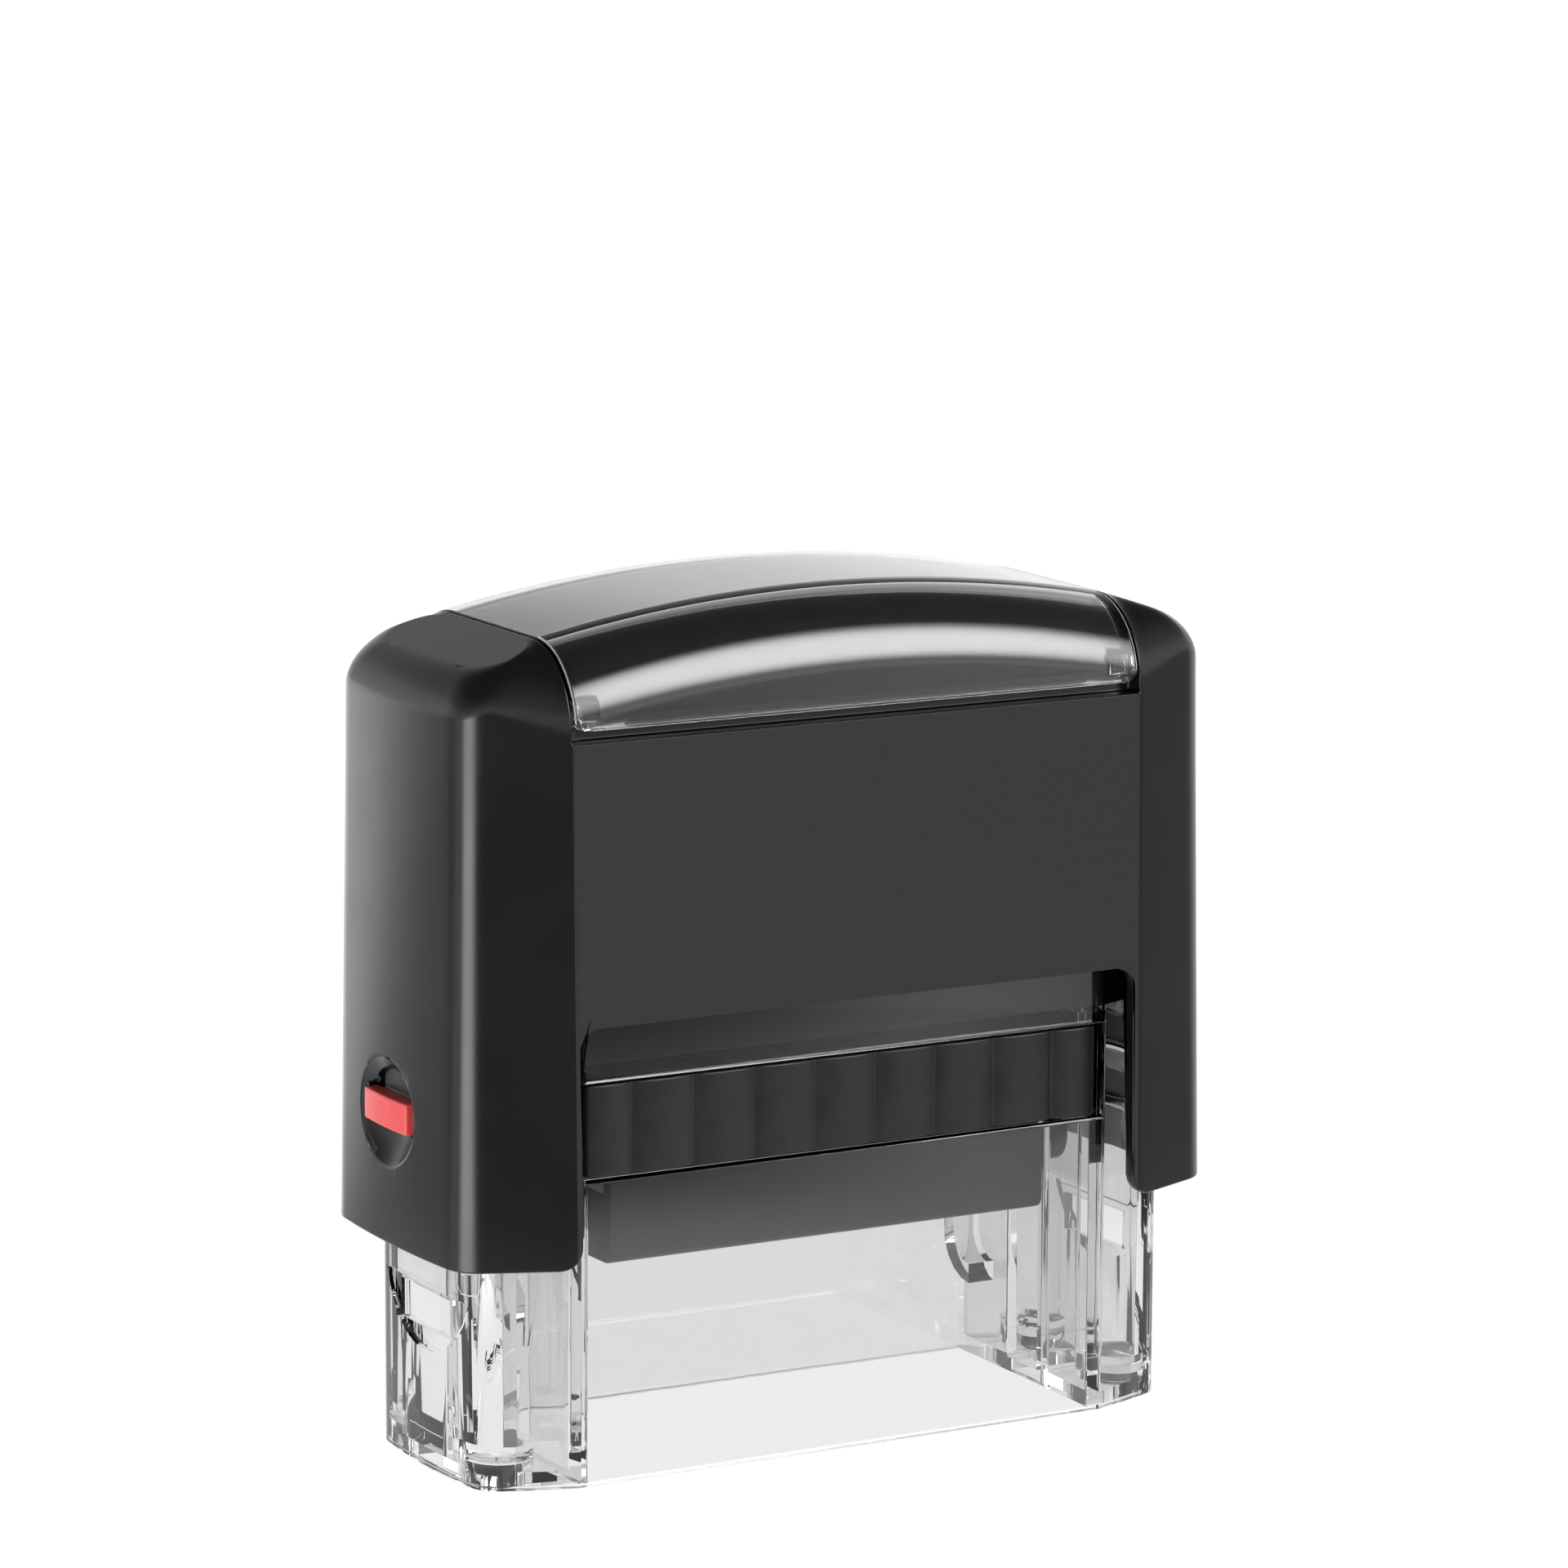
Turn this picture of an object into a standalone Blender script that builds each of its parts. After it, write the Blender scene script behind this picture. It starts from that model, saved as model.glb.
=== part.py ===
"""A self-inking stamp for a 38 by 14 mm text plate, at rest with its cap up.

Units are metres and +Z is up. The origin is the middle of the footprint, on the table.
+X runs along the stamp, and -Y is the side that the ink cartridge is drawn out of.
"""

import math

import bmesh
import bpy
from mathutils import Matrix, Vector

MM = 0.001

# The text plate sets the size of everything round it.
PLATE_HALF_X = 19.0 * MM
PLATE_HALF_Y = 7.0 * MM

# Heights that the mechanism works between.
STROKE = 16.0 * MM
CARTRIDGE_CHANGE = 4.5 * MM  # how far down the cap is locked to change the cartridge
AXLE_Z = 20.6 * MM
DIE_FACE = 4.5 * MM  # from the axle to the printing face

# Gaps: between neighbours of one body, and between layers that rest on each other.
GAP = 0.3 * MM
LAYER_GAP = 0.1 * MM

# Past the stamp's outside, where cutting shapes end.
PAST_X = 36.0 * MM
PAST_Y = 20.0 * MM
PAST_BOTTOM = -5.0 * MM
PAST_TOP = 80.0 * MM

# Clear base frame.
FRAME_BOTTOM = 0.25 * MM
FRAME_TOP = 38.0 * MM
FRAME_WALL = 1.2 * MM
FRAME_SIDE_HALF_X = 23.2 * MM  # half the length of its flat front and back
FRAME_HALF_Y = (11.55 * MM, 11.75 * MM)  # at its bottom and at the bridge
FRAME_CORNER = (30.4 * MM, 8.85 * MM)
FRAME_CROWN = 0.6 * MM
FRAME_FILLET = 1.7 * MM
OPENING_HALF_X = 22.4 * MM  # between the two end blocks
POST_TOP = 32.7 * MM
POST_WALL = 1.2 * MM
POST_END_Y = 11.0 * MM
CHANNEL_HALF_Y = 2.4 * MM  # guide channel for the yoke's arms
CHANNEL_END_X = 26.6 * MM
CHANNEL_WALL = 1.0 * MM
FLOOR_BOTTOM = 0.4 * MM
FLOOR_TOP = 1.5 * MM
FLOOR_MIDDLE = (FLOOR_BOTTOM + FLOOR_TOP) / 2.0
FLOOR_HOLE_X = (23.8 * MM, 29.3 * MM)
FLOOR_HOLE_HALF_Y = 2.2 * MM
PAD_WINDOW_HALF_X = 23.3 * MM
PAD_WINDOW = (24.15 * MM, 31.95 * MM)
REAR_WINDOW_HALF_X = 22.0 * MM
REAR_WINDOW = (25.3 * MM, 31.95 * MM)
FOOT_X = 27.5 * MM
FOOT_Y = 6.2 * MM
FOOT_R = 1.65 * MM
FOOT_BOSS_R = 2.5 * MM
FOOT_BOSS_TOP = 3.5 * MM
FOOT_RECESS_TOP = 2.0 * MM
HOOK_CENTRE = (4.7 * MM, 11.4 * MM)  # Y and Z of the cam hooks' bend
HOOK_RADII = (2.4 * MM, 4.0 * MM)
HOOK_TOP = 17.0 * MM
HOOK_REACH = 2.3 * MM
LATCH_CENTRE_Z = 17.0 * MM
LATCH_R = 7.5 * MM
LATCH_TOP = 14.6 * MM
LATCH_X = 30.35 * MM
LATCH_HALF_Y = 9.0 * MM
LOCK_HOLE_X = 28.6 * MM
LOCK_HOLE_HALF_Y = 4.3 * MM

# Cap.
CAP_BOTTOM = 18.2 * MM
CAP_WALL = 1.2 * MM
CUTOUT_HALF_X = 24.4 * MM
CUTOUT_TOP = 36.7 * MM
CUTOUT_CORNER = 1.6 * MM
PANEL_HALF_X = 24.9 * MM
CAP_HALF_Y = (14.4 * MM, 13.7 * MM)  # at its bottom and at the panels' top, as the two rows below
CAP_CORNERS = ((33.25 * MM, 10.95 * MM), (32.6 * MM, 10.6 * MM))
CAP_CROWN = 0.6 * MM
CAP_FILLET = 2.1 * MM
PANEL_TOP = 58.5 * MM
SEAM_Z = 65.7 * MM
APEX_Z = 68.3 * MM
SHOULDER_SLOPE = 0.35
ROOF_SIDE_R = 6.5 * MM
ROOF_END_R = 2.8 * MM
ROOF_STEPS = 4
CAVITY_TOP = 57.0 * MM
CAVITY_INSET = 3.0 * MM
ROOF_RIB = (12.0 * MM, 13.2 * MM)
SEAT_INSET = 1.7 * MM

# Index window and the card under it.
WINDOW_HALF_X = 24.7 * MM
WINDOW_BOTTOM = 59.4 * MM
WINDOW_WALL = 1.2 * MM
CARD_HALF_X = 23.9 * MM
CARD_BOTTOM = 60.3 * MM
CARD_INSETS = (1.3 * MM, 1.55 * MM)

# Lock buttons in the cap's ends.
BUTTON_Y = 0.8 * MM  # they sit a little behind the middle
BUTTON_Z = 28.5 * MM
BUTTON_HALF_Y = 3.65 * MM
BUTTON_HALF_Z = 1.25 * MM
BUTTON_FACE_X = 33.9 * MM
BUTTON_TIP_X = 31.25 * MM
BUTTON_ARM = (32.0 * MM, 32.6 * MM)
BUTTON_ARM_HALF_Y = 2.4 * MM
BUTTON_PIVOT_X = 32.3 * MM
BUTTON_PIVOT_Z = 43.0 * MM
SCOOP_RIM_X = 33.75 * MM
SCOOP_HALF_Z = 4.3 * MM
SCOOP_WIDENING = 1.16  # the scoop's width over its height
SCOOP_DEPTH = 1.7 * MM
BUTTON_BOSS_R = 6.0 * MM
BUTTON_BOSS = (31.25 * MM, 33.2 * MM)

# Yoke that carries the die holder.
YOKE_ARM_X = (22.8 * MM, 25.8 * MM)
YOKE_ARM_HALF_Y = 2.1 * MM
YOKE_PLATE = (59.0 * MM, 61.0 * MM)
YOKE_PLATE_HALF_Y = 6.0 * MM
PIN_R = 1.15 * MM
PIN_HOLE_R = 1.25 * MM
PIN_TIP_X = 25.4 * MM

# Bridge over the ink cartridge, and the main spring that stands on it.
BRIDGE = (33.0 * MM, 35.0 * MM)
BRIDGE_RIM_TOP = 37.7 * MM
SPRING_R = 3.6 * MM
SPRING_WIRE_R = 0.35 * MM
SPRING_TURNS = 8.5
SPRING_POINTS_PER_TURN = 10
SPRING_POST_R = 2.6 * MM
SPRING_POST_TOP = 41.0 * MM

# Ink cartridge.
TRAY_HALF_X = 21.7 * MM
TRAY = (25.6 * MM, 31.7 * MM)
TRAY_BACK_Y = 11.2 * MM
GRIP_HALF_X = 22.7 * MM
GRIP_Z = (24.45 * MM, 31.6 * MM)
GRIP_FRONT_Y = -11.1 * MM
GRIP_BACK_Y = -10.3 * MM
GRIP_PADS = 9
GRIP_BULGE = 0.45 * MM
GRIP_END_SHARE = 0.75  # the two outer pads are this share of the others' width
INK_PAD = (25.55 * MM, 29.4 * MM)

# Die holder and the layers on it, as heights above the axle.
HOLDER_HALF_X = 19.3 * MM
HOLDER_HALF_Y = 8.4 * MM
HOLDER = (-3.9 * MM, 1.2 * MM)
HOLDER_RIM_Y = 7.3 * MM
HOLDER_RIM_TOP = 3.4 * MM
HOLDER_WALL = 1.6 * MM
HUB_R = 2.8 * MM
HUB_END_X = 22.0 * MM
CUSHION = (1.3 * MM, 2.4 * MM)
DIE_SHEET = (2.5 * MM, 3.8 * MM)
PLAIN_BARS = ((2.6 * MM, 13.0 * MM), (0.0, 15.0 * MM), (-2.6 * MM, 10.0 * MM))  # middle Y, half length
PLAIN_BAR_HALF_Y = 0.7 * MM
PLATE_BORDER = 0.9 * MM


class Plan:
    """A plan outline with flat sides, legs that turn inwards, filleted corners and bowed ends."""

    def __init__(self, flat, half_y, corner, crown, fillet, panel_steps=1, fillet_steps=2, end_steps=3):
        self.crease = Vector((flat, half_y))
        self.corner = Vector(corner)
        self.crown = crown
        self.fillet = fillet
        self.panel_steps = panel_steps
        self.fillet_steps = fillet_steps
        self.end_steps = end_steps

    def quarter(self):
        """Points from the middle of a long side to the end: (point, inward offset, share towards the end)."""
        crease, corner = self.crease, self.corner
        along = (corner - crease).normalized()
        leg_normal = Vector((-along.y, along.x))
        side_normal = Vector((0.0, 1.0))
        bow = (corner.y**2 + self.crown**2) / (2.0 * self.crown)
        centre_x = corner.x + self.crown - bow
        corner_angle = math.asin(corner.y / bow)
        end_normal = Vector((math.cos(corner_angle), math.sin(corner_angle)))
        miter = (leg_normal + end_normal) / (1.0 + leg_normal.dot(end_normal))

        points = []
        for i in range(self.panel_steps + 1):
            points.append((Vector((crease.x * i / self.panel_steps, crease.y)), side_normal, 0.0))
        start = corner - along * self.fillet
        angle = corner_angle - self.fillet / bow
        stop = Vector((centre_x + bow * math.cos(angle), bow * math.sin(angle)))
        for i in range(self.fillet_steps + 1):
            t = i / self.fillet_steps
            curve = (1.0 - t) ** 2 * start + 2.0 * t * (1.0 - t) * corner + t**2 * stop
            points.append((curve, miter, 1.0))
        slant = miter.dot(Vector((-end_normal.y, end_normal.x)))
        for i in range(self.end_steps - 1, -1, -1):
            share = i / self.end_steps
            normal = Vector((math.cos(angle * share), math.sin(angle * share)))
            tangent = Vector((-normal.y, normal.x))
            points.append((Vector((centre_x, 0.0)) + bow * normal, normal + slant * share * tangent, 1.0))
        return points

    def outline(self):
        """The whole outline anticlockwise from the +X end: (point, inward offset, share)."""
        quarter = self.quarter()
        ring = []
        turns = ((1, 1, True), (-1, 1, False), (-1, -1, True), (1, -1, False))
        for sx, sy, backwards in turns:
            flip = Vector((sx, sy))
            part = quarter[::-1] if backwards else quarter
            ring += [(point * flip, normal * flip, share) for point, normal, share in part[:-1]]
        return ring


def cap_plan(half_y, corner):
    return Plan(PANEL_HALF_X, half_y, corner, CAP_CROWN, CAP_FILLET, panel_steps=4)


def base_plan(half_y):
    return Plan(FRAME_SIDE_HALF_X, half_y, FRAME_CORNER, FRAME_CROWN, FRAME_FILLET, fillet_steps=5, end_steps=8)


CAP_PLANS = [cap_plan(half_y, corner) for half_y, corner in zip(CAP_HALF_Y, CAP_CORNERS)]
BASE_PLANS = [base_plan(half_y) for half_y in FRAME_HALF_Y]


def roof_height(x):
    """The cap's arched top: one arc over the window, then shoulders that slope down."""
    rise = APEX_Z - SEAM_Z
    radius = (PANEL_HALF_X**2 + rise**2) / (2.0 * rise)
    past = abs(x) - PANEL_HALF_X
    if past <= 0.0:
        return APEX_Z - radius + math.sqrt(radius**2 - x**2)
    return SEAM_Z - SHOULDER_SLOPE * past


def collection(name):
    made = bpy.data.collections.new(name)
    bpy.context.scene.collection.children.link(made)
    return made


def finish_mesh(name, bm):
    """Makes an object of a bmesh, among the cutters until add_part takes it out."""
    bmesh.ops.remove_doubles(bm, verts=bm.verts, dist=1e-7)
    bmesh.ops.recalc_face_normals(bm, faces=bm.faces)
    mesh = bpy.data.meshes.new(name)
    bm.to_mesh(mesh)
    bm.free()
    obj = bpy.data.objects.new(name, mesh)
    obj.hide_render = True
    obj.display_type = "WIRE"
    CUTTERS.objects.link(obj)
    return obj


def box(name, low, high, radius=0.0, along="XYZ", segments=2):
    """A box between two corners, with the edges that run along the named axes rounded."""
    bm = bmesh.new()
    bmesh.ops.create_cube(bm, size=1.0)
    low, high = Vector(low), Vector(high)
    place = Matrix.Translation((low + high) / 2.0) @ Matrix.Diagonal((*(high - low), 1.0))
    bmesh.ops.transform(bm, matrix=place, verts=bm.verts)
    if radius:
        edges = [
            edge
            for edge in bm.edges
            if "XYZ"[max(range(3), key=lambda i: abs((edge.verts[0].co - edge.verts[1].co)[i]))] in along
        ]
        bmesh.ops.bevel(bm, geom=edges, offset=radius, segments=segments, profile=0.5, affect="EDGES")
    return finish_mesh(name, bm)


def cylinder(name, start, end, radius, segments=24):
    """A cylinder from one point to another."""
    start, end = Vector(start), Vector(end)
    bm = bmesh.new()
    length = (end - start).length
    bmesh.ops.create_cone(
        bm, cap_ends=True, segments=segments, radius1=radius, radius2=radius, depth=length
    )
    turn = Vector((0.0, 0.0, 1.0)).rotation_difference(end - start).to_matrix().to_4x4()
    bmesh.ops.transform(bm, matrix=Matrix.Translation((start + end) / 2.0) @ turn, verts=bm.verts)
    return finish_mesh(name, bm)


def sphere(name, centre, radius, widening, segments=20):
    """A ball with its poles along X, stretched along Y."""
    bm = bmesh.new()
    bmesh.ops.create_uvsphere(bm, u_segments=segments, v_segments=segments // 2, radius=radius)
    turn = Matrix.Rotation(math.pi / 2.0, 4, "Y")
    stretch = Matrix.Diagonal((1.0, widening, 1.0, 1.0))
    bmesh.ops.transform(bm, matrix=Matrix.Translation(centre) @ stretch @ turn, verts=bm.verts)
    return finish_mesh(name, bm)


def prism(name, outline, axis, low, high):
    """A flat outline raised along an axis: its points are the other two coordinates, in X, Y, Z order."""
    bm = bmesh.new()
    others = [i for i in range(3) if i != axis]
    verts = []
    for point in outline:
        spot = [low, low, low]
        spot[others[0]], spot[others[1]] = point
        verts.append(bm.verts.new(spot))
    raised = bmesh.ops.extrude_face_region(bm, geom=[bm.faces.new(verts)])["geom"]
    step = Vector([high - low if i == axis else 0.0 for i in range(3)])
    bmesh.ops.translate(bm, verts=[v for v in raised if isinstance(v, bmesh.types.BMVert)], vec=step)
    return finish_mesh(name, bm)


def bridge_rings(bm, rings):
    """Joins rings of equal length into a wall of triangles, lowest ring first."""
    count = len(rings[0])
    for lower, upper in zip(rings, rings[1:]):
        for i in range(count):
            j = (i + 1) % count
            bm.faces.new((lower[i], lower[j], upper[j]))
            bm.faces.new((lower[i], upper[j], upper[i]))


def drafted_block(name, plans, heights, inset, low, high):
    """A straight-sided solid whose plan changes evenly between two heights, cut to low and high."""
    bm = bmesh.new()
    rings = []
    for z in (low, high):
        share = (z - heights[0]) / (heights[1] - heights[0])
        ring = []
        for start, end in zip(plans[0].outline(), plans[1].outline()):
            point = start[0].lerp(end[0], share) - inset * start[1]
            ring.append(bm.verts.new((point.x, point.y, z)))
        rings.append(ring)
    bridge_rings(bm, rings)
    bm.faces.new(rings[0][::-1])
    bm.faces.new(rings[-1])
    return finish_mesh(name, bm)


def arched_block(name, inset, bottom, roof_drop=None):
    """The cap's outer form shrunk by an inset: drafted sides, rounded top edges and an arched roof."""
    drop = inset if roof_drop is None else roof_drop
    heights = (CAP_BOTTOM, PANEL_TOP)
    share = (bottom - heights[0]) / (heights[1] - heights[0])
    bm = bmesh.new()
    low_ring = []
    rings = [low_ring]
    for start, end in zip(CAP_PLANS[0].outline(), CAP_PLANS[1].outline()):
        point = start[0].lerp(end[0], share) - inset * start[1]
        low_ring.append(bm.verts.new((point.x, point.y, bottom)))
    for step in range(ROOF_STEPS + 1):
        angle = math.pi / 2.0 * step / ROOF_STEPS
        ring = []
        for point, offset, end_share in CAP_PLANS[1].outline():
            radius = ROOF_SIDE_R * (1.0 - end_share) + ROOF_END_R * end_share - inset
            radius = max(radius, 0.4 * MM)
            spot = point - (inset + radius * (1.0 - math.cos(angle))) * offset
            height = roof_height(spot.x) - drop - radius * (1.0 - math.sin(angle))
            ring.append(bm.verts.new((spot.x, spot.y, height)))
        rings.append(ring)
    bridge_rings(bm, rings)
    bm.faces.new(low_ring[::-1])
    top = rings[-1]
    count = len(top)
    for i in range(count // 2):
        strip = (top[i], top[i + 1], top[(count - i - 1) % count], top[(count - i) % count])
        bm.faces.new(list(dict.fromkeys(strip)))
    return finish_mesh(name, bm)


def cut(target, *cutters):
    combine(target, "DIFFERENCE", cutters)


def join(target, *pieces):
    combine(target, "UNION", pieces)


def keep(target, region):
    combine(target, "INTERSECT", [region])


def combine(target, operation, others):
    for other in others:
        modifier = target.modifiers.new(f"{operation.lower()} {other.name}", "BOOLEAN")
        modifier.operation = operation
        modifier.solver = "EXACT"
        modifier.object = other


def material(name, colour, roughness, metallic=0.0, transmission=0.0):
    made = bpy.data.materials.new(name)
    made.use_nodes = True
    shader = made.node_tree.nodes["Principled BSDF"]
    shader.inputs["Base Color"].default_value = (*colour, 1.0)
    shader.inputs["Roughness"].default_value = roughness
    shader.inputs["Metallic"].default_value = metallic
    shader.inputs["Transmission Weight"].default_value = transmission
    return made


def add_part(obj, finish, parent=None, smooth=False):
    """Makes an object a visible part with a material, under the empty of its joint."""
    CUTTERS.objects.unlink(obj)
    PARTS.objects.link(obj)
    obj.hide_render = False
    obj.display_type = "TEXTURED"
    obj.data.materials.append(finish)
    if smooth:
        obj.data.shade_smooth()
        obj.data.set_sharp_from_angle(angle=math.radians(35.0))
    if parent:
        hang(obj, parent)
    return obj


def hang(obj, parent):
    """Parents an object without moving it, so that its location stays in the stamp's own frame."""
    obj.parent = parent
    obj.matrix_parent_inverse = Matrix.Translation(-parent.location)


def joint_empty(name, place, parent=None):
    """An empty on a joint's axis, which the joint's moving parts hang from."""
    empty = bpy.data.objects.new(name, None)
    empty.location = place
    empty.empty_display_size = 5.0 * MM
    PARTS.objects.link(empty)
    if parent:
        hang(empty, parent)
    return empty


def end_box(name, x_range, y_range, z_range, sign, **rounding):
    """A box whose X range is given for the +X end, mirrored to the end that sign names."""
    xs = sorted(sign * x for x in x_range)
    return box(name, (xs[0], y_range[0], z_range[0]), (xs[1], y_range[1], z_range[1]), **rounding)


def foot_places():
    for depth, sy in (("front", -1.0), ("rear", 1.0)):
        for end, sx in (("left", -1.0), ("right", 1.0)):
            yield f"{depth}_{end}", sx * FOOT_X, sy * FOOT_Y


def frame_end_pieces(sign, end):
    """The inner walls of one end block: two post walls, the arm channel and the cam hook."""
    for side in (-1.0, 1.0):
        post = sorted((side * CHANNEL_HALF_Y, side * POST_END_Y))
        channel = sorted((side * CHANNEL_HALF_Y, side * (CHANNEL_HALF_Y + CHANNEL_WALL)))
        heights = (FLOOR_MIDDLE, POST_TOP)
        yield end_box(f"post {end} {side}", (OPENING_HALF_X, OPENING_HALF_X + POST_WALL), post, heights, sign)
        channel_x = (OPENING_HALF_X + POST_WALL / 2.0, CHANNEL_END_X)
        yield end_box(f"channel {end} {side}", channel_x, channel, heights, sign)
    xs = sorted((sign * (OPENING_HALF_X - HOOK_REACH), sign * (OPENING_HALF_X + POST_WALL / 2.0)))
    yield prism(f"cam hook {end}", hook_outline(), 0, *xs)


def hook_outline():
    """The cam hook seen along X: a stem that bends round to a foot."""
    inner, outer = HOOK_RADII
    steps = 5
    angles = [math.pi / 2.0 * i / steps for i in range(steps + 1)]
    y, z = HOOK_CENTRE
    outside = [(y + outer * math.sin(angle), z - outer * math.cos(angle)) for angle in angles]
    inside = [(y + inner * math.sin(angle), z - inner * math.cos(angle)) for angle in reversed(angles)]
    return outside + [(y + outer, HOOK_TOP), (y + inner, HOOK_TOP)] + inside


def lock_hole_heights():
    """Heights in the frame where a pushed-in button lies: at rest, at cartridge change and pressed down."""
    reach = BUTTON_HALF_Z + GAP
    for pressed in (0.0, CARTRIDGE_CHANGE, STROKE):
        yield BUTTON_Z - pressed - reach, BUTTON_Z - pressed + reach


def latch_recess(sign, end):
    """A shallow recess in the end wall, straight above and curved below."""
    ends = [(sign * x, 0.0, LATCH_CENTRE_Z) for x in (LATCH_X, PAST_X - 1.0 * MM)]
    recess = cylinder(f"latch recess {end}", *ends, LATCH_R, 32)
    side_x = (LATCH_X - 1.0 * MM, PAST_X)
    lower = LATCH_CENTRE_Z - LATCH_R - 1.0 * MM
    keep(recess, end_box(f"latch side {end}", side_x, (-LATCH_HALF_Y, LATCH_HALF_Y), (lower, LATCH_TOP), sign))
    return recess


def base_frame():
    """The clear frame: walls all round, two end blocks, and windows for the cartridge."""
    heights = (FRAME_BOTTOM, BRIDGE[0])
    frame = drafted_block("base_frame", BASE_PLANS, heights, 0.0, FRAME_BOTTOM, FRAME_TOP)
    hollow = drafted_block("frame hollow", BASE_PLANS, heights, FRAME_WALL, PAST_BOTTOM, PAST_TOP)
    cut(frame, hollow)
    floor = drafted_block("frame floor", BASE_PLANS, heights, FRAME_WALL / 2.0, FLOOR_BOTTOM, FLOOR_TOP)
    through = (PAST_BOTTOM, FLOOR_TOP + 3.0 * MM)
    opening_low = (-OPENING_HALF_X, -PAST_Y, through[0])
    cut(floor, box("imprint opening", opening_low, (OPENING_HALF_X, PAST_Y, through[1])))
    hole_y = (-FLOOR_HOLE_HALF_Y, FLOOR_HOLE_HALF_Y)
    for sign, end in ((-1.0, "left"), (1.0, "right")):
        cut(floor, end_box(f"floor hole {end}", FLOOR_HOLE_X, hole_y, through, sign))
    join(frame, floor)
    for name, x, y in foot_places():
        join(frame, cylinder(f"boss {name}", (x, y, FLOOR_MIDDLE), (x, y, FOOT_BOSS_TOP), FOOT_BOSS_R))
    for name, x, y in foot_places():
        recess_ends = (x, y, PAST_BOTTOM), (x, y, FOOT_RECESS_TOP)
        cut(frame, cylinder(f"foot recess {name}", *recess_ends, FOOT_R + 0.15 * MM, 20))
    for sign, end in ((-1.0, "left"), (1.0, "right")):
        join(frame, *frame_end_pieces(sign, end))
    front = box(
        "pad window",
        (-PAD_WINDOW_HALF_X, -PAST_Y, PAD_WINDOW[0]),
        (PAD_WINDOW_HALF_X, GRIP_BACK_Y, PAD_WINDOW[1]),
    )
    rear = box(
        "rear window",
        (-REAR_WINDOW_HALF_X, -GRIP_BACK_Y, REAR_WINDOW[0]),
        (REAR_WINDOW_HALF_X, PAST_Y, REAR_WINDOW[1]),
    )
    cut(frame, front, rear)
    lock_y = (BUTTON_Y - LOCK_HOLE_HALF_Y, BUTTON_Y + LOCK_HOLE_HALF_Y)
    for sign, end in ((-1.0, "left"), (1.0, "right")):
        for low, high in lock_hole_heights():
            cut(frame, end_box(f"lock hole {end} {low:.4f}", (LOCK_HOLE_X, PAST_X), lock_y, (low, high), sign))
        cut(frame, latch_recess(sign, end))
    return frame


def foot(name, x, y):
    rubber = cylinder(f"rubber_foot_{name}", (x, y, 0.0), (x, y, FOOT_RECESS_TOP - LAYER_GAP), FOOT_R, 20)
    edge = rubber.modifiers.new("soft edge", "BEVEL")
    edge.width = 0.25 * MM
    edge.segments = 1
    edge.limit_method = "ANGLE"
    return rubber


def inner_bridge():
    """A dark tray over the cartridge, with the spring's post in its middle and slots for the yoke's arms."""
    heights = (FRAME_BOTTOM, BRIDGE[0])
    bridge = drafted_block("inner_bridge", BASE_PLANS, heights, FRAME_WALL + GAP, BRIDGE[0], BRIDGE_RIM_TOP)
    rim = FRAME_WALL + GAP + 1.0 * MM
    cut(bridge, drafted_block("bridge tray", BASE_PLANS, heights, rim, BRIDGE[1], PAST_TOP))
    post_ends = (0.0, 0.0, BRIDGE[0] + 1 * MM), (0.0, 0.0, SPRING_POST_TOP)
    join(bridge, cylinder("spring post", *post_ends, SPRING_POST_R, 20))
    slot_x = (YOKE_ARM_X[0] - 0.5 * MM, YOKE_ARM_X[1] + 0.5 * MM)
    slot_y = (-YOKE_ARM_HALF_Y - 0.5 * MM, YOKE_ARM_HALF_Y + 0.5 * MM)
    for sign, end in ((-1.0, "left"), (1.0, "right")):
        cut(bridge, end_box(f"arm slot {end}", slot_x, slot_y, (BRIDGE[0] - 1 * MM, BRIDGE[1] + 1 * MM), sign))
    return bridge


def main_spring():
    """A compression spring with a closed turn at each end."""
    low = BRIDGE[1] + LAYER_GAP + SPRING_WIRE_R
    high = YOKE_PLATE[0] - LAYER_GAP - SPRING_WIRE_R
    closed = 2.2 * SPRING_WIRE_R
    count = round(SPRING_TURNS * SPRING_POINTS_PER_TURN)
    curve = bpy.data.curves.new("main_spring", "CURVE")
    curve.dimensions = "3D"
    curve.bevel_depth = SPRING_WIRE_R
    curve.bevel_resolution = 1
    curve.use_fill_caps = True
    spline = curve.splines.new("POLY")
    spline.points.add(count)
    for i, point in enumerate(spline.points):
        turn = i / SPRING_POINTS_PER_TURN
        open_turns = min(max(turn - 1.0, 0.0), SPRING_TURNS - 2.0)
        ends = min(turn, 1.0) + max(turn - (SPRING_TURNS - 1.0), 0.0)
        z = low + closed * ends + (high - low - 2.0 * closed) * open_turns / (SPRING_TURNS - 2.0)
        angle = 2.0 * math.pi * turn
        point.co = (SPRING_R * math.cos(angle), SPRING_R * math.sin(angle), z, 1.0)
    spring = bpy.data.objects.new("main_spring", curve)
    CUTTERS.objects.link(spring)
    return spring


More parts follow.
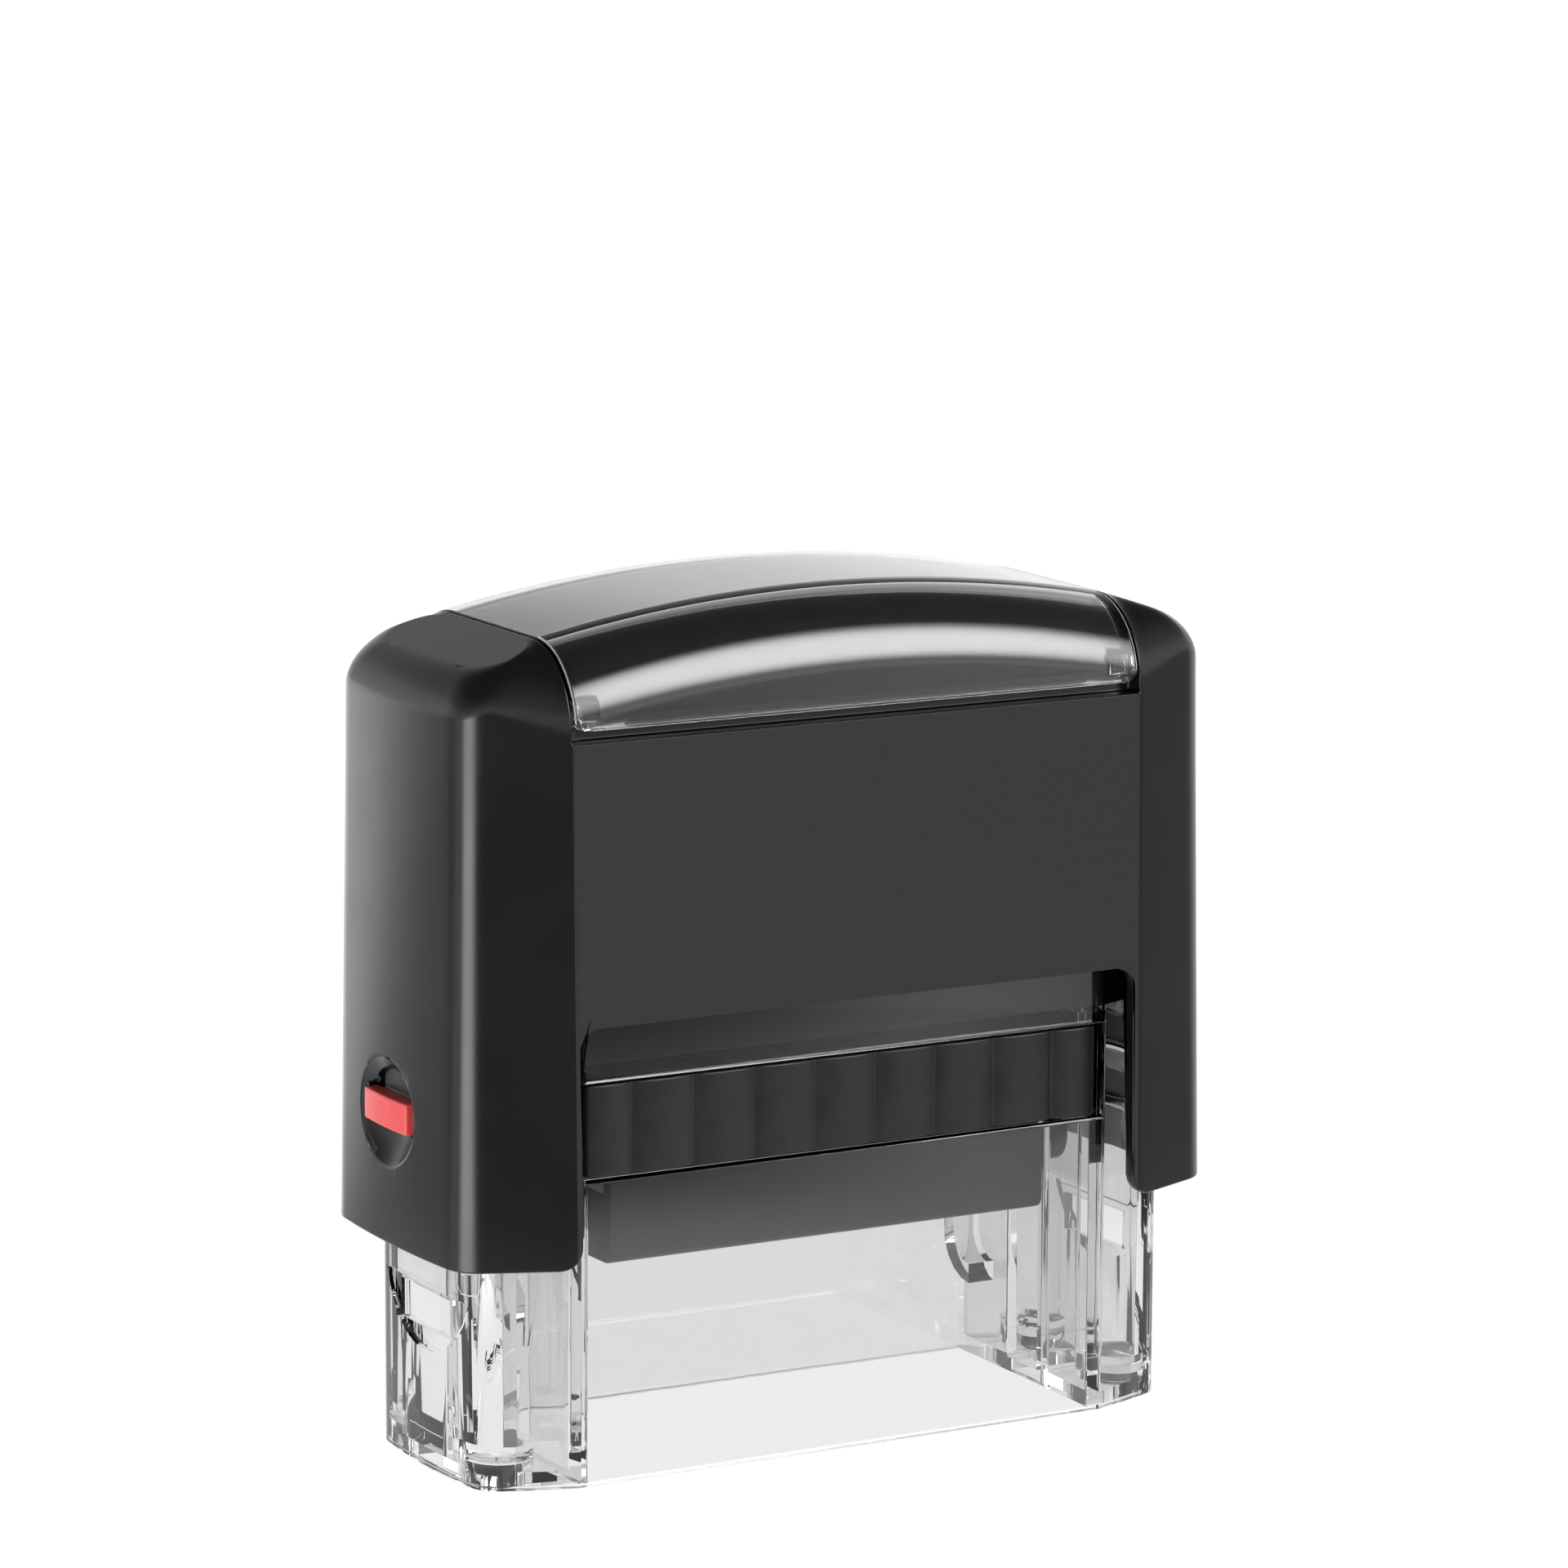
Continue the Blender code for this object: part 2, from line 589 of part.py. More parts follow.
def cap_shell():
    """The cap: a hollow arched shell with a cut-out front and back, a seat for the window and button scoops."""
    shell = arched_block("cap_shell", 0.0, CAP_BOTTOM)
    heights = (CAP_BOTTOM, PANEL_TOP)
    cut(shell, drafted_block("cap hollow", CAP_PLANS, heights, CAP_WALL, PAST_BOTTOM, CAVITY_TOP))
    cut(shell, arched_block("cap crown hollow", CAVITY_INSET, CAVITY_TOP - 2.0 * MM, CAVITY_INSET + 0.2 * MM))
    seat_cut = arch_region("seat region", PANEL_HALF_X, PANEL_TOP)
    cut(seat_cut, arched_block("window seat", SEAT_INSET, CAVITY_TOP))
    cut(shell, seat_cut)
    cutout = box(
        "cap cut-out",
        (-CUTOUT_HALF_X, -PAST_Y, PAST_BOTTOM),
        (CUTOUT_HALF_X, PAST_Y, CUTOUT_TOP),
        radius=CUTOUT_CORNER,
        along="Y",
        segments=4,
    )
    cut(shell, cutout)
    for sign, end in ((-1.0, "left"), (1.0, "right")):
        boss_ends = [(sign * x, BUTTON_Y, BUTTON_Z) for x in BUTTON_BOSS]
        join(shell, cylinder(f"button boss {end}", *boss_ends, BUTTON_BOSS_R, 28))
        scoop_r = (SCOOP_HALF_Z**2 + SCOOP_DEPTH**2) / (2.0 * SCOOP_DEPTH)
        scoop_centre = (sign * (SCOOP_RIM_X - SCOOP_DEPTH + scoop_r), BUTTON_Y, BUTTON_Z)
        cut(shell, sphere(f"scoop {end}", scoop_centre, scoop_r, SCOOP_WIDENING, 28))
        reach_y = BUTTON_HALF_Y + GAP
        reach_z = BUTTON_HALF_Z + GAP
        slot = end_box(
            f"button slot {end}",
            (BUTTON_BOSS[0] - 1 * MM, BUTTON_FACE_X + 2 * MM),
            (BUTTON_Y - reach_y, BUTTON_Y + reach_y),
            (BUTTON_Z - reach_z, BUTTON_Z + reach_z),
            sign,
        )
        channel = end_box(
            f"button arm channel {end}",
            (BUTTON_BOSS[0] - 1 * MM, BUTTON_ARM[1] + GAP),
            (BUTTON_Y - BUTTON_ARM_HALF_Y - GAP, BUTTON_Y + BUTTON_ARM_HALF_Y + GAP),
            (BUTTON_Z, BUTTON_PIVOT_Z + 1 * MM),
            sign,
        )
        cut(shell, slot, channel)
        join(shell, roof_rib(sign, end))
    return shell


def roof_rib(sign, end):
    """A rib under the roof that pushes the yoke down."""
    z_range = (YOKE_PLATE[1] + LAYER_GAP, APEX_Z - CAVITY_INSET)
    return end_box(f"roof rib {end}", ROOF_RIB, (-YOKE_PLATE_HALF_Y, YOKE_PLATE_HALF_Y), z_range, sign)


def arch_region(name, half_x, bottom):
    """The space above a height, between two planes across the cap."""
    return box(name, (-half_x, -PAST_Y, bottom), (half_x, PAST_Y, PAST_TOP))


def index_window():
    window = arched_block("index_window", 0.0, CAVITY_TOP)
    keep(window, arch_region("window region", WINDOW_HALF_X, WINDOW_BOTTOM))
    cut(window, arched_block("window inside", WINDOW_WALL, CAVITY_TOP))
    return window


def index_card():
    card = arched_block("index_card", CARD_INSETS[0], CAVITY_TOP)
    keep(card, arch_region("card region", CARD_HALF_X, CARD_BOTTOM))
    cut(card, arched_block("card inside", CARD_INSETS[1], CAVITY_TOP))
    return card


def flip_yoke():
    """The inner yoke: a plate under the cap's roof, with two arms that hold the die holder's pins."""
    low, high = YOKE_PLATE
    outer = YOKE_ARM_X[1]
    yoke = box("flip_yoke", (-outer, -YOKE_PLATE_HALF_Y, low), (outer, YOKE_PLATE_HALF_Y, high), 0.6 * MM, "Z", 1)
    join(yoke, cylinder("spring boss", (0.0, 0.0, low - 1.5 * MM), (0.0, 0.0, high - 0.5 * MM), SPRING_POST_R, 20))
    for sign, end in ((-1.0, "left"), (1.0, "right")):
        inner_x, outer_x = sign * YOKE_ARM_X[0], sign * (YOKE_ARM_X[1] - 0.02 * MM)
        arm_y = (-YOKE_ARM_HALF_Y, YOKE_ARM_HALF_Y)
        arm_x = (YOKE_ARM_X[0], YOKE_ARM_X[1] - 0.02 * MM)
        join(yoke, end_box(f"arm {end}", arm_x, arm_y, (AXLE_Z, low + 0.5 * MM), sign))
        tip_ends = (inner_x + sign * 0.02 * MM, 0.0, AXLE_Z), (outer_x - sign * 0.02 * MM, 0.0, AXLE_Z)
        join(yoke, cylinder(f"arm tip {end}", *tip_ends, YOKE_ARM_HALF_Y - 0.01 * MM, 20))
        hole_ends = (inner_x - sign * 2 * MM, 0.0, AXLE_Z), (outer_x + sign * 2 * MM, 0.0, AXLE_Z)
        cut(yoke, cylinder(f"pin hole {end}", *hole_ends, PIN_HOLE_R, 16))
    return yoke


def lock_button(end, sign):
    """A red button with the spring arm that it swings on."""
    head = end_box(
        f"lock_button_{end}",
        (BUTTON_TIP_X, BUTTON_FACE_X),
        (BUTTON_Y - BUTTON_HALF_Y, BUTTON_Y + BUTTON_HALF_Y),
        (BUTTON_Z - BUTTON_HALF_Z, BUTTON_Z + BUTTON_HALF_Z),
        sign,
        radius=0.25 * MM,
        segments=1,
    )
    arm_y = (BUTTON_Y - BUTTON_ARM_HALF_Y, BUTTON_Y + BUTTON_ARM_HALF_Y)
    join(head, end_box(f"button arm {end}", BUTTON_ARM, arm_y, (BUTTON_Z, BUTTON_PIVOT_Z + 0.6 * MM), sign))
    return head


def grip_outline():
    """The cartridge's grip in plan: a row of pillow-shaped pads along its front."""
    middle_width = 2.0 * GRIP_HALF_X / (GRIP_PADS - 2 + 2 * GRIP_END_SHARE)
    points = [(GRIP_HALF_X, GRIP_BACK_Y), (-GRIP_HALF_X, GRIP_BACK_Y), (-GRIP_HALF_X, GRIP_FRONT_Y)]
    x = -GRIP_HALF_X
    steps = 4
    for pad in range(GRIP_PADS):
        outer = pad in (0, GRIP_PADS - 1)
        width = middle_width * (GRIP_END_SHARE if outer else 1.0)
        for i in range(1, steps + 1):
            share = i / steps
            points.append((x + width * share, GRIP_FRONT_Y - GRIP_BULGE * math.sin(math.pi * share)))
        x += width
    return points


def pad_cartridge():
    """The cartridge: a tray for the ink pad with a ribbed grip across its front."""
    tray = box("pad_cartridge", (-TRAY_HALF_X, GRIP_FRONT_Y + 0.2 * MM, TRAY[0]), (TRAY_HALF_X, TRAY_BACK_Y, TRAY[1]))
    join(tray, prism("grip", grip_outline(), 2, *GRIP_Z))
    pad_x = PLATE_HALF_X + 0.9 * MM
    pad_y = PLATE_HALF_Y + 1.0 * MM
    cut(tray, box("ink pad recess", (-pad_x, -pad_y, TRAY[0] - 3 * MM), (pad_x, pad_y, INK_PAD[1] + LAYER_GAP)))
    return tray


def ink_pad():
    half_x = PLATE_HALF_X + 0.6 * MM
    half_y = PLATE_HALF_Y + 0.7 * MM
    return box("ink_pad", (-half_x, -half_y, INK_PAD[0]), (half_x, half_y, INK_PAD[1]), 0.4 * MM, "XYZ", 1)


def die_holder():
    """The platen that turns over: a shallow tray with a hub at each end."""
    low = (-HOLDER_HALF_X, -HOLDER_HALF_Y, AXLE_Z + HOLDER[0])
    high = (HOLDER_HALF_X, HOLDER_HALF_Y, AXLE_Z + HOLDER[1])
    holder = box("die_holder", low, high, 0.8 * MM, "X")
    for side in (-1.0, 1.0):
        rim_y = sorted((side * HOLDER_RIM_Y, side * HOLDER_HALF_Y))
        rim_low = (-HOLDER_HALF_X, rim_y[0], AXLE_Z)
        join(holder, box(f"holder rim {side}", rim_low, (HOLDER_HALF_X, rim_y[1], AXLE_Z + HOLDER_RIM_TOP)))
    pocket_x = HOLDER_HALF_X - HOLDER_WALL
    pocket_y = HOLDER_HALF_Y - HOLDER_WALL
    pocket = box(
        "holder pocket",
        (-pocket_x, -pocket_y, AXLE_Z + HOLDER[0] - 2 * MM),
        (pocket_x, pocket_y, AXLE_Z - 0.8 * MM),
    )
    cut(holder, pocket)
    for sign, end in ((-1.0, "left"), (1.0, "right")):
        hub_ends = (sign * (PLATE_HALF_X + LAYER_GAP), 0.0, AXLE_Z), (sign * HUB_END_X, 0.0, AXLE_Z)
        join(holder, cylinder(f"hub {end}", *hub_ends, HUB_R))
        bore_ends = (sign * (HOLDER_HALF_X + 0.4 * MM), 0.0, AXLE_Z), (sign * PAST_X, 0.0, AXLE_Z)
        cut(holder, cylinder(f"hub bore {end}", *bore_ends, PIN_R + LAYER_GAP, 16))
    return holder


def axle_pin(end, sign):
    pin_ends = (sign * (HOLDER_HALF_X + 0.5 * MM), 0.0, AXLE_Z), (sign * PIN_TIP_X, 0.0, AXLE_Z)
    return cylinder(f"axle_pin_{end}", *pin_ends, PIN_R, 16)


def die_cushion():
    low = (-PLATE_HALF_X, -PLATE_HALF_Y, AXLE_Z + CUSHION[0])
    return box("die_cushion", low, (PLATE_HALF_X, PLATE_HALF_Y, AXLE_Z + CUSHION[1]))


def rubber_die():
    """The text plate, with a frame and plain bars in relief in place of lettering."""
    top = AXLE_Z + DIE_FACE
    die = box("rubber_die", (-PLATE_HALF_X, -PLATE_HALF_Y, AXLE_Z + DIE_SHEET[0]), (PLATE_HALF_X, PLATE_HALF_Y, top))
    ground = AXLE_Z + DIE_SHEET[1]
    half_x = PLATE_HALF_X - PLATE_BORDER
    half_y = PLATE_HALF_Y - PLATE_BORDER
    cut(die, box("die ground", (-half_x, -half_y, ground), (half_x, half_y, top + 1 * MM)))
    for y, half_length in PLAIN_BARS:
        low = (-half_length, y - PLAIN_BAR_HALF_Y, ground - 0.3 * MM)
        join(die, box(f"die bar {y:.4f}", low, (half_length, y + PLAIN_BAR_HALF_Y, top)))
    return die


def build_base():
    clear = material("clear_plastic", (0.86, 0.87, 0.88), 0.03, transmission=1.0)
    rubber = material("foot_rubber", (0.03, 0.03, 0.03), 0.7)
    dark = material("inner_plastic", (0.035, 0.035, 0.037), 0.45)
    steel = material("spring_steel", (0.6, 0.6, 0.62), 0.28, metallic=1.0)
    add_part(base_frame(), clear)
    for name, x, y in foot_places():
        add_part(foot(name, x, y), rubber, smooth=True)
    add_part(inner_bridge(), dark)
    add_part(main_spring(), steel)
    return dark, steel


def build_cartridge(dark):
    slide = joint_empty("ink_pad_slide", (0.0, GRIP_FRONT_Y, TRAY[0]))
    add_part(pad_cartridge(), dark, slide)
    add_part(ink_pad(), material("ink_pad_foam", (0.02, 0.05, 0.2), 0.9), slide)


def build_cap(dark):
    press = joint_empty("cap_press", (0.0, 0.0, CAP_BOTTOM))
    add_part(cap_shell(), material("cap_plastic", (0.03, 0.03, 0.032), 0.18), press, smooth=True)
    add_part(index_card(), material("index_card", (0.05, 0.05, 0.055), 0.6), press, smooth=True)
    add_part(flip_yoke(), dark, press)
    lift = joint_empty("index_window_lift", (0.0, 0.0, WINDOW_BOTTOM), press)
    window = material("window_plastic", (0.9, 0.9, 0.92), 0.03, transmission=1.0)
    add_part(index_window(), window, lift, smooth=True)
    red = material("button_plastic", (0.85, 0.12, 0.13), 0.35)
    for end, sign in (("left", -1.0), ("right", 1.0)):
        pivot = joint_empty(f"lock_button_{end}_swing", (sign * BUTTON_PIVOT_X, 0.0, BUTTON_PIVOT_Z), press)
        add_part(lock_button(end, sign), red, pivot)
    return press


def build_die(press, steel):
    flip = joint_empty("die_flip", (0.0, 0.0, AXLE_Z), press)
    add_part(die_holder(), material("holder_plastic", (0.09, 0.09, 0.095), 0.5), flip)
    for end, sign in (("left", -1.0), ("right", 1.0)):
        add_part(axle_pin(end, sign), steel, flip, smooth=True)
    add_part(die_cushion(), material("cushion_foam", (0.75, 0.74, 0.7), 0.9), flip)
    add_part(rubber_die(), material("die_rubber", (0.35, 0.07, 0.06), 0.65), flip)


for old in list(bpy.data.objects):
    bpy.data.objects.remove(old, do_unlink=True)
PARTS = collection("self_inking_stamp")
CUTTERS = collection("cutters")
dark_plastic, spring_steel = build_base()
build_cartridge(dark_plastic)
build_die(build_cap(dark_plastic), spring_steel)
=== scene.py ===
"""The looks of a self-inking stamp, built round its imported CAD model.

Units are metres, +Z is up and -Y is the front. The cap, its window and the card under it are lofted finely
here from one plan. The other pieces are the CAD solids with softened edges, or are made from their boxes.
"""

import math

import bmesh
import bpy
from mathutils import Matrix, Vector, noise


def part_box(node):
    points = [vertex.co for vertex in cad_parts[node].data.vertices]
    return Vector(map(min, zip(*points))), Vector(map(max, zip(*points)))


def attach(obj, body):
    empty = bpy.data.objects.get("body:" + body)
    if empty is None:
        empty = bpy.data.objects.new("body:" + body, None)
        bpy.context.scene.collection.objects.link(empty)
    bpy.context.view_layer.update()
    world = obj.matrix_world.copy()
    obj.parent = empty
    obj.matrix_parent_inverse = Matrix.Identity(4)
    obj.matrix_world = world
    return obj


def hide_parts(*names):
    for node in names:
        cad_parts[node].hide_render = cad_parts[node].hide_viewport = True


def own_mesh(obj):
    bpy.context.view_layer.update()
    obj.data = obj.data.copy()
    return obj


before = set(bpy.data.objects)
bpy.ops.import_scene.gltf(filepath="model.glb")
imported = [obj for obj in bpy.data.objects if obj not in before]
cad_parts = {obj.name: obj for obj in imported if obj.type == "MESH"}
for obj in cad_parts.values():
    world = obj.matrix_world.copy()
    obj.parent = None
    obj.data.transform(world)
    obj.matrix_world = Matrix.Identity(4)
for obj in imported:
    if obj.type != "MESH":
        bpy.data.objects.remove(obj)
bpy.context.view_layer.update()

MM = 0.001
CAP_LOW, CAP_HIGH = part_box("cap_shell")
WINDOW_LOW, WINDOW_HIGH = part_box("index_window")
CARD_LOW, CARD_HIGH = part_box("index_card")
BUTTON_LOW, BUTTON_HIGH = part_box("lock_button_right")
CARTRIDGE_LOW, CARTRIDGE_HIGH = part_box("pad_cartridge")
PAD_LOW, PAD_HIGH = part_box("ink_pad")
SPRING_LOW, SPRING_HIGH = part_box("main_spring")

# The cap's plan: flat front and back, legs that turn inwards, filleted corners and bowed ends.
SEAM_GAP = 0.2 * MM
PANEL_HALF_X = WINDOW_HIGH.x + SEAM_GAP
PANEL_TOP = 58.5 * MM
TOP_HALF_Y = 13.7 * MM
LOW_CORNER = (33.25 * MM, 10.95 * MM)
HIGH_CORNER = (32.6 * MM, 10.6 * MM)
CROWN = 0.6 * MM
CORNER_FILLET = 2.1 * MM
CREASE = 0.5 * MM

# The cap's roof.
SEAM_Z = 65.7 * MM
APEX_Z = WINDOW_HIGH.z
SHOULDER_SLOPE = 0.35
ROOF_SIDE_R = 6.5 * MM
ROOF_END_R = 2.8 * MM
ROOF_STEPS = 14
PANEL_STEPS = 32
CREASE_STEPS = 4
LEG_STEPS = 6
FILLET_STEPS = 10
END_STEPS = 14

# Walls of the cap and the pieces in its top.
CAP_WALL = 1.2 * MM
CAVITY_TOP = 57.0 * MM
CAVITY_INSET = 3.0 * MM
SEAT_INSET = 1.7 * MM
WINDOW_WALL = 1.2 * MM
WINDOW_CORNER = 1.1 * MM
CARD_INSETS = (1.3 * MM, 1.55 * MM)
CUTOUT_HALF_X = 24.4 * MM
CUTOUT_TOP = 36.7 * MM
CUTOUT_CORNER = 1.6 * MM
LEG_CORNER = 1.8 * MM

# Lock buttons and the scoops they lie in.
BUTTON_Y = (BUTTON_LOW.y + BUTTON_HIGH.y) / 2.0
BUTTON_HALF_Y = BUTTON_HIGH.y - BUTTON_Y
BUTTON_HALF_Z = 1.25 * MM
BUTTON_Z = BUTTON_LOW.z + BUTTON_HALF_Z
BUTTON_GAP = 0.25 * MM
# Inboard of this the button's colour is painted near-black, as painted shade on its body and arm.
PAINTED_SHADE_EDGE_X = 32.7 * MM
SCOOP_HALF_Z = 4.3 * MM
SCOOP_WIDENING = 1.16
SCOOP_DEPTH = 1.7 * MM
SCOOP_RIM_X = 33.75 * MM
ARM_X = (32.0 * MM, 32.6 * MM)
ARM_HALF_Y = 2.4 * MM
BOSS_R = 6.0 * MM
BOSS_X = (BUTTON_LOW.x, 33.2 * MM)

# The cartridge's grip.
GRIP_PADS = 9
GRIP_END_SHARE = 0.75
GRIP_BULGE = 0.45 * MM
GRIP_HALF_X = CARTRIDGE_HIGH.x
GRIP_THICKNESS = 0.8 * MM

PIECES = bpy.data.collections.new("stamp_pieces")
bpy.context.scene.collection.children.link(PIECES)


# Shapes


class Plan:
    """A plan outline, given by half the width between its long sides and by its corner."""

    def __init__(self, half_y, corner):
        self.crease = Vector((PANEL_HALF_X, half_y))
        self.corner = Vector(corner)

    def quarter(self):
        """Points from a long side's middle to the end: (point, inward offset, share towards the end)."""
        crease = self.crease
        along = (self.corner - crease).normalized()
        leg_normal = Vector((-along.y, along.x))
        side_normal = Vector((0.0, 1.0))
        bow = (self.corner.y**2 + CROWN**2) / (2.0 * CROWN)
        centre = Vector((self.corner.x + CROWN - bow, 0.0))
        corner_angle = math.asin(self.corner.y / bow)
        end_normal = Vector((math.cos(corner_angle), math.sin(corner_angle)))
        miter = (leg_normal + end_normal) / (1.0 + leg_normal.dot(end_normal))

        points = []
        crease_start = crease - Vector((CREASE, 0.0))
        for i in range(PANEL_STEPS):
            points.append((Vector((crease_start.x * i / PANEL_STEPS, crease.y)), side_normal, 0.0))
        crease_end = crease + along * CREASE
        for i in range(CREASE_STEPS):
            points.append((quadratic(crease_start, crease, crease_end, i / CREASE_STEPS), side_normal, 0.0))
        start = self.corner - along * CORNER_FILLET
        for i in range(LEG_STEPS):
            share = i / LEG_STEPS
            points.append((crease_end.lerp(start, share), side_normal.lerp(miter, share**1.2), share))
        angle = corner_angle - CORNER_FILLET / bow
        stop = centre + bow * Vector((math.cos(angle), math.sin(angle)))
        for i in range(FILLET_STEPS + 1):
            points.append((quadratic(start, self.corner, stop, i / FILLET_STEPS), miter, 1.0))
        slant = miter.dot(Vector((-end_normal.y, end_normal.x)))
        for i in range(END_STEPS - 1, -1, -1):
            share = i / END_STEPS
            normal = Vector((math.cos(angle * share), math.sin(angle * share)))
            tangent = Vector((-normal.y, normal.x))
            points.append((centre + bow * normal, normal + slant * share * tangent, 1.0))
        return points

    def outline(self):
        """The whole outline anticlockwise from the +X end: (point, inward offset, share)."""
        quarter = self.quarter()
        ring = []
        turns = ((1, 1, True), (-1, 1, False), (-1, -1, True), (1, -1, False))
        for sx, sy, backwards in turns:
            flip = Vector((sx, sy))
            part = quarter[::-1] if backwards else quarter
            ring += [(point * flip, offset * flip, share) for point, offset, share in part[:-1]]
        return ring


def quadratic(start, corner, stop, t):
    return (1.0 - t) ** 2 * start + 2.0 * t * (1.0 - t) * corner + t**2 * stop


LOW_PLAN = Plan(CAP_HIGH.y, LOW_CORNER)
HIGH_PLAN = Plan(TOP_HALF_Y, HIGH_CORNER)


def roof_height(x):
    """The cap's arched top: one arc over the window, then shoulders that slope down."""
    rise = APEX_Z - SEAM_Z
    radius = (PANEL_HALF_X**2 + rise**2) / (2.0 * rise)
    past = abs(x) - PANEL_HALF_X
    if past <= 0.0:
        return APEX_Z - radius + math.sqrt(radius**2 - x**2)
    return SEAM_Z - SHOULDER_SLOPE * past


def finish_mesh(name, bm):
    bmesh.ops.remove_doubles(bm, verts=bm.verts, dist=1e-7)
    bmesh.ops.recalc_face_normals(bm, faces=bm.faces)
    mesh = bpy.data.meshes.new(name)
    bm.to_mesh(mesh)
    bm.free()
    obj = bpy.data.objects.new(name, mesh)
    PIECES.objects.link(obj)
    return obj


def plan_ring(bm, inset, z):
    """A ring of the cap's drafted plan at one height."""
    share = (z - CAP_LOW.z) / (PANEL_TOP - CAP_LOW.z)
    ring = []
    for low, high in zip(LOW_PLAN.outline(), HIGH_PLAN.outline()):
        point = low[0].lerp(high[0], share) - inset * low[1]
        ring.append(bm.verts.new((point.x, point.y, z)))
    return ring


def bridge_rings(bm, rings):
    count = len(rings[0])
    for lower, upper in zip(rings, rings[1:]):
        for i in range(count):
            j = (i + 1) % count
            bm.faces.new((lower[i], lower[j], upper[j], upper[i]))


def drafted_block(name, inset, low, high):
    """The cap's plan raised between two heights."""
    bm = bmesh.new()
    rings = [plan_ring(bm, inset, low), plan_ring(bm, inset, high)]
    bridge_rings(bm, rings)
    bm.faces.new(rings[0][::-1])
    bm.faces.new(rings[1])
    return finish_mesh(name, bm)


def arched_block(name, inset, bottom, drop=None, levels=1):
    """The cap's outer form shrunk by an inset: drafted sides, rounded top edges and an arched roof.

    The roof is lowered by drop, and levels is the number of rings up the drafted sides.
    """
    drop = inset if drop is None else drop
    bm = bmesh.new()
    rise = (CAVITY_TOP - bottom) / levels
    rings = [plan_ring(bm, inset, bottom + i * rise) for i in range(levels)]
    for step in range(ROOF_STEPS + 1):
        angle = math.pi / 2.0 * step / ROOF_STEPS
        ring = []
        for point, offset, end_share in HIGH_PLAN.outline():
            radius = ROOF_SIDE_R * (1.0 - end_share) + ROOF_END_R * end_share - inset
            radius = max(radius, 0.4 * MM)
            spot = point - (inset + radius * (1.0 - math.cos(angle))) * offset
            height = roof_height(spot.x) - drop - radius * (1.0 - math.sin(angle))
            ring.append(bm.verts.new((spot.x, spot.y, height)))
        rings.append(ring)
    bridge_rings(bm, rings)
    bm.faces.new(rings[0][::-1])
    top = rings[-1]
    count = len(top)
    for i in range(count // 2):
        strip = (top[i], top[i + 1], top[(count - i - 1) % count], top[(count - i) % count])
        bm.faces.new(list(dict.fromkeys(strip)))
    return finish_mesh(name, bm)


def box(name, low, high, radius=0.0, along="XYZ", segments=4):
    """A box between two corners, with the edges that run along the named axes rounded."""
    bm = bmesh.new()
    bmesh.ops.create_cube(bm, size=1.0)
    low, high = Vector(low), Vector(high)
    fit = Matrix.Translation((low + high) / 2.0) @ Matrix.Diagonal((*(high - low), 1.0))
    bmesh.ops.transform(bm, matrix=fit, verts=bm.verts)
    if radius:
        edges = [edge for edge in bm.edges if "XYZ"[main_axis(edge)] in along]
        bmesh.ops.bevel(bm, geom=edges, offset=radius, segments=segments, profile=0.5, affect="EDGES")
    return finish_mesh(name, bm)


def main_axis(edge):
    run = edge.verts[0].co - edge.verts[1].co
    return max(range(3), key=lambda i: abs(run[i]))


def end_box(name, x_range, y_range, z_range, sign, **rounding):
    """A box whose X range is given for the +X end, mirrored to the end that sign names."""
    xs = sorted(sign * x for x in x_range)
    return box(name, (xs[0], y_range[0], z_range[0]), (xs[1], y_range[1], z_range[1]), **rounding)


def cylinder(name, start, end, radius, segments=64):
    start, end = Vector(start), Vector(end)
    bm = bmesh.new()
    size = {"radius1": radius, "radius2": radius, "depth": (end - start).length}
    bmesh.ops.create_cone(bm, cap_ends=True, segments=segments, **size)
    turn = Vector((0.0, 0.0, 1.0)).rotation_difference(end - start).to_matrix().to_4x4()
    bmesh.ops.transform(bm, matrix=Matrix.Translation((start + end) / 2.0) @ turn, verts=bm.verts)
    return finish_mesh(name, bm)


def ball(name, centre, radius, widening, segments=96):
    """A ball with its poles along X, stretched along Y."""
    bm = bmesh.new()
    bmesh.ops.create_uvsphere(bm, u_segments=segments, v_segments=segments // 2, radius=radius)
    turn = Matrix.Rotation(math.pi / 2.0, 4, "Y")
    stretch = Matrix.Diagonal((1.0, widening, 1.0, 1.0))
    bmesh.ops.transform(bm, matrix=Matrix.Translation(centre) @ stretch @ turn, verts=bm.verts)
    return finish_mesh(name, bm)


def prism(name, outline, axis, low, high):
    """A flat outline raised along an axis: its points are the other two coordinates, in X, Y, Z order."""
    bm = bmesh.new()
    others = [i for i in range(3) if i != axis]
    verts = []
    for point in outline:
        spot = [low, low, low]
        spot[others[0]], spot[others[1]] = point
        verts.append(bm.verts.new(spot))
    face = bm.faces.new(verts)
    raised = bmesh.ops.extrude_face_region(bm, geom=[face])["geom"]
    step = Vector([high - low if i == axis else 0.0 for i in range(3)])
    bmesh.ops.translate(bm, verts=[v for v in raised if isinstance(v, bmesh.types.BMVert)], vec=step)
    return finish_mesh(name, bm)


def arc(centre, radius, start, stop, steps=8):
    """Points of an arc between two angles in degrees."""
    points = []
    for i in range(steps + 1):
        angle = math.radians(start + (stop - start) * i / steps)
        points.append((centre[0] + radius * math.cos(angle), centre[1] + radius * math.sin(angle)))
    return points


def mirrored(points):
    """The points, and then their mirror images in reverse order."""
    return points + [(-x, y) for x, y in reversed(points)]


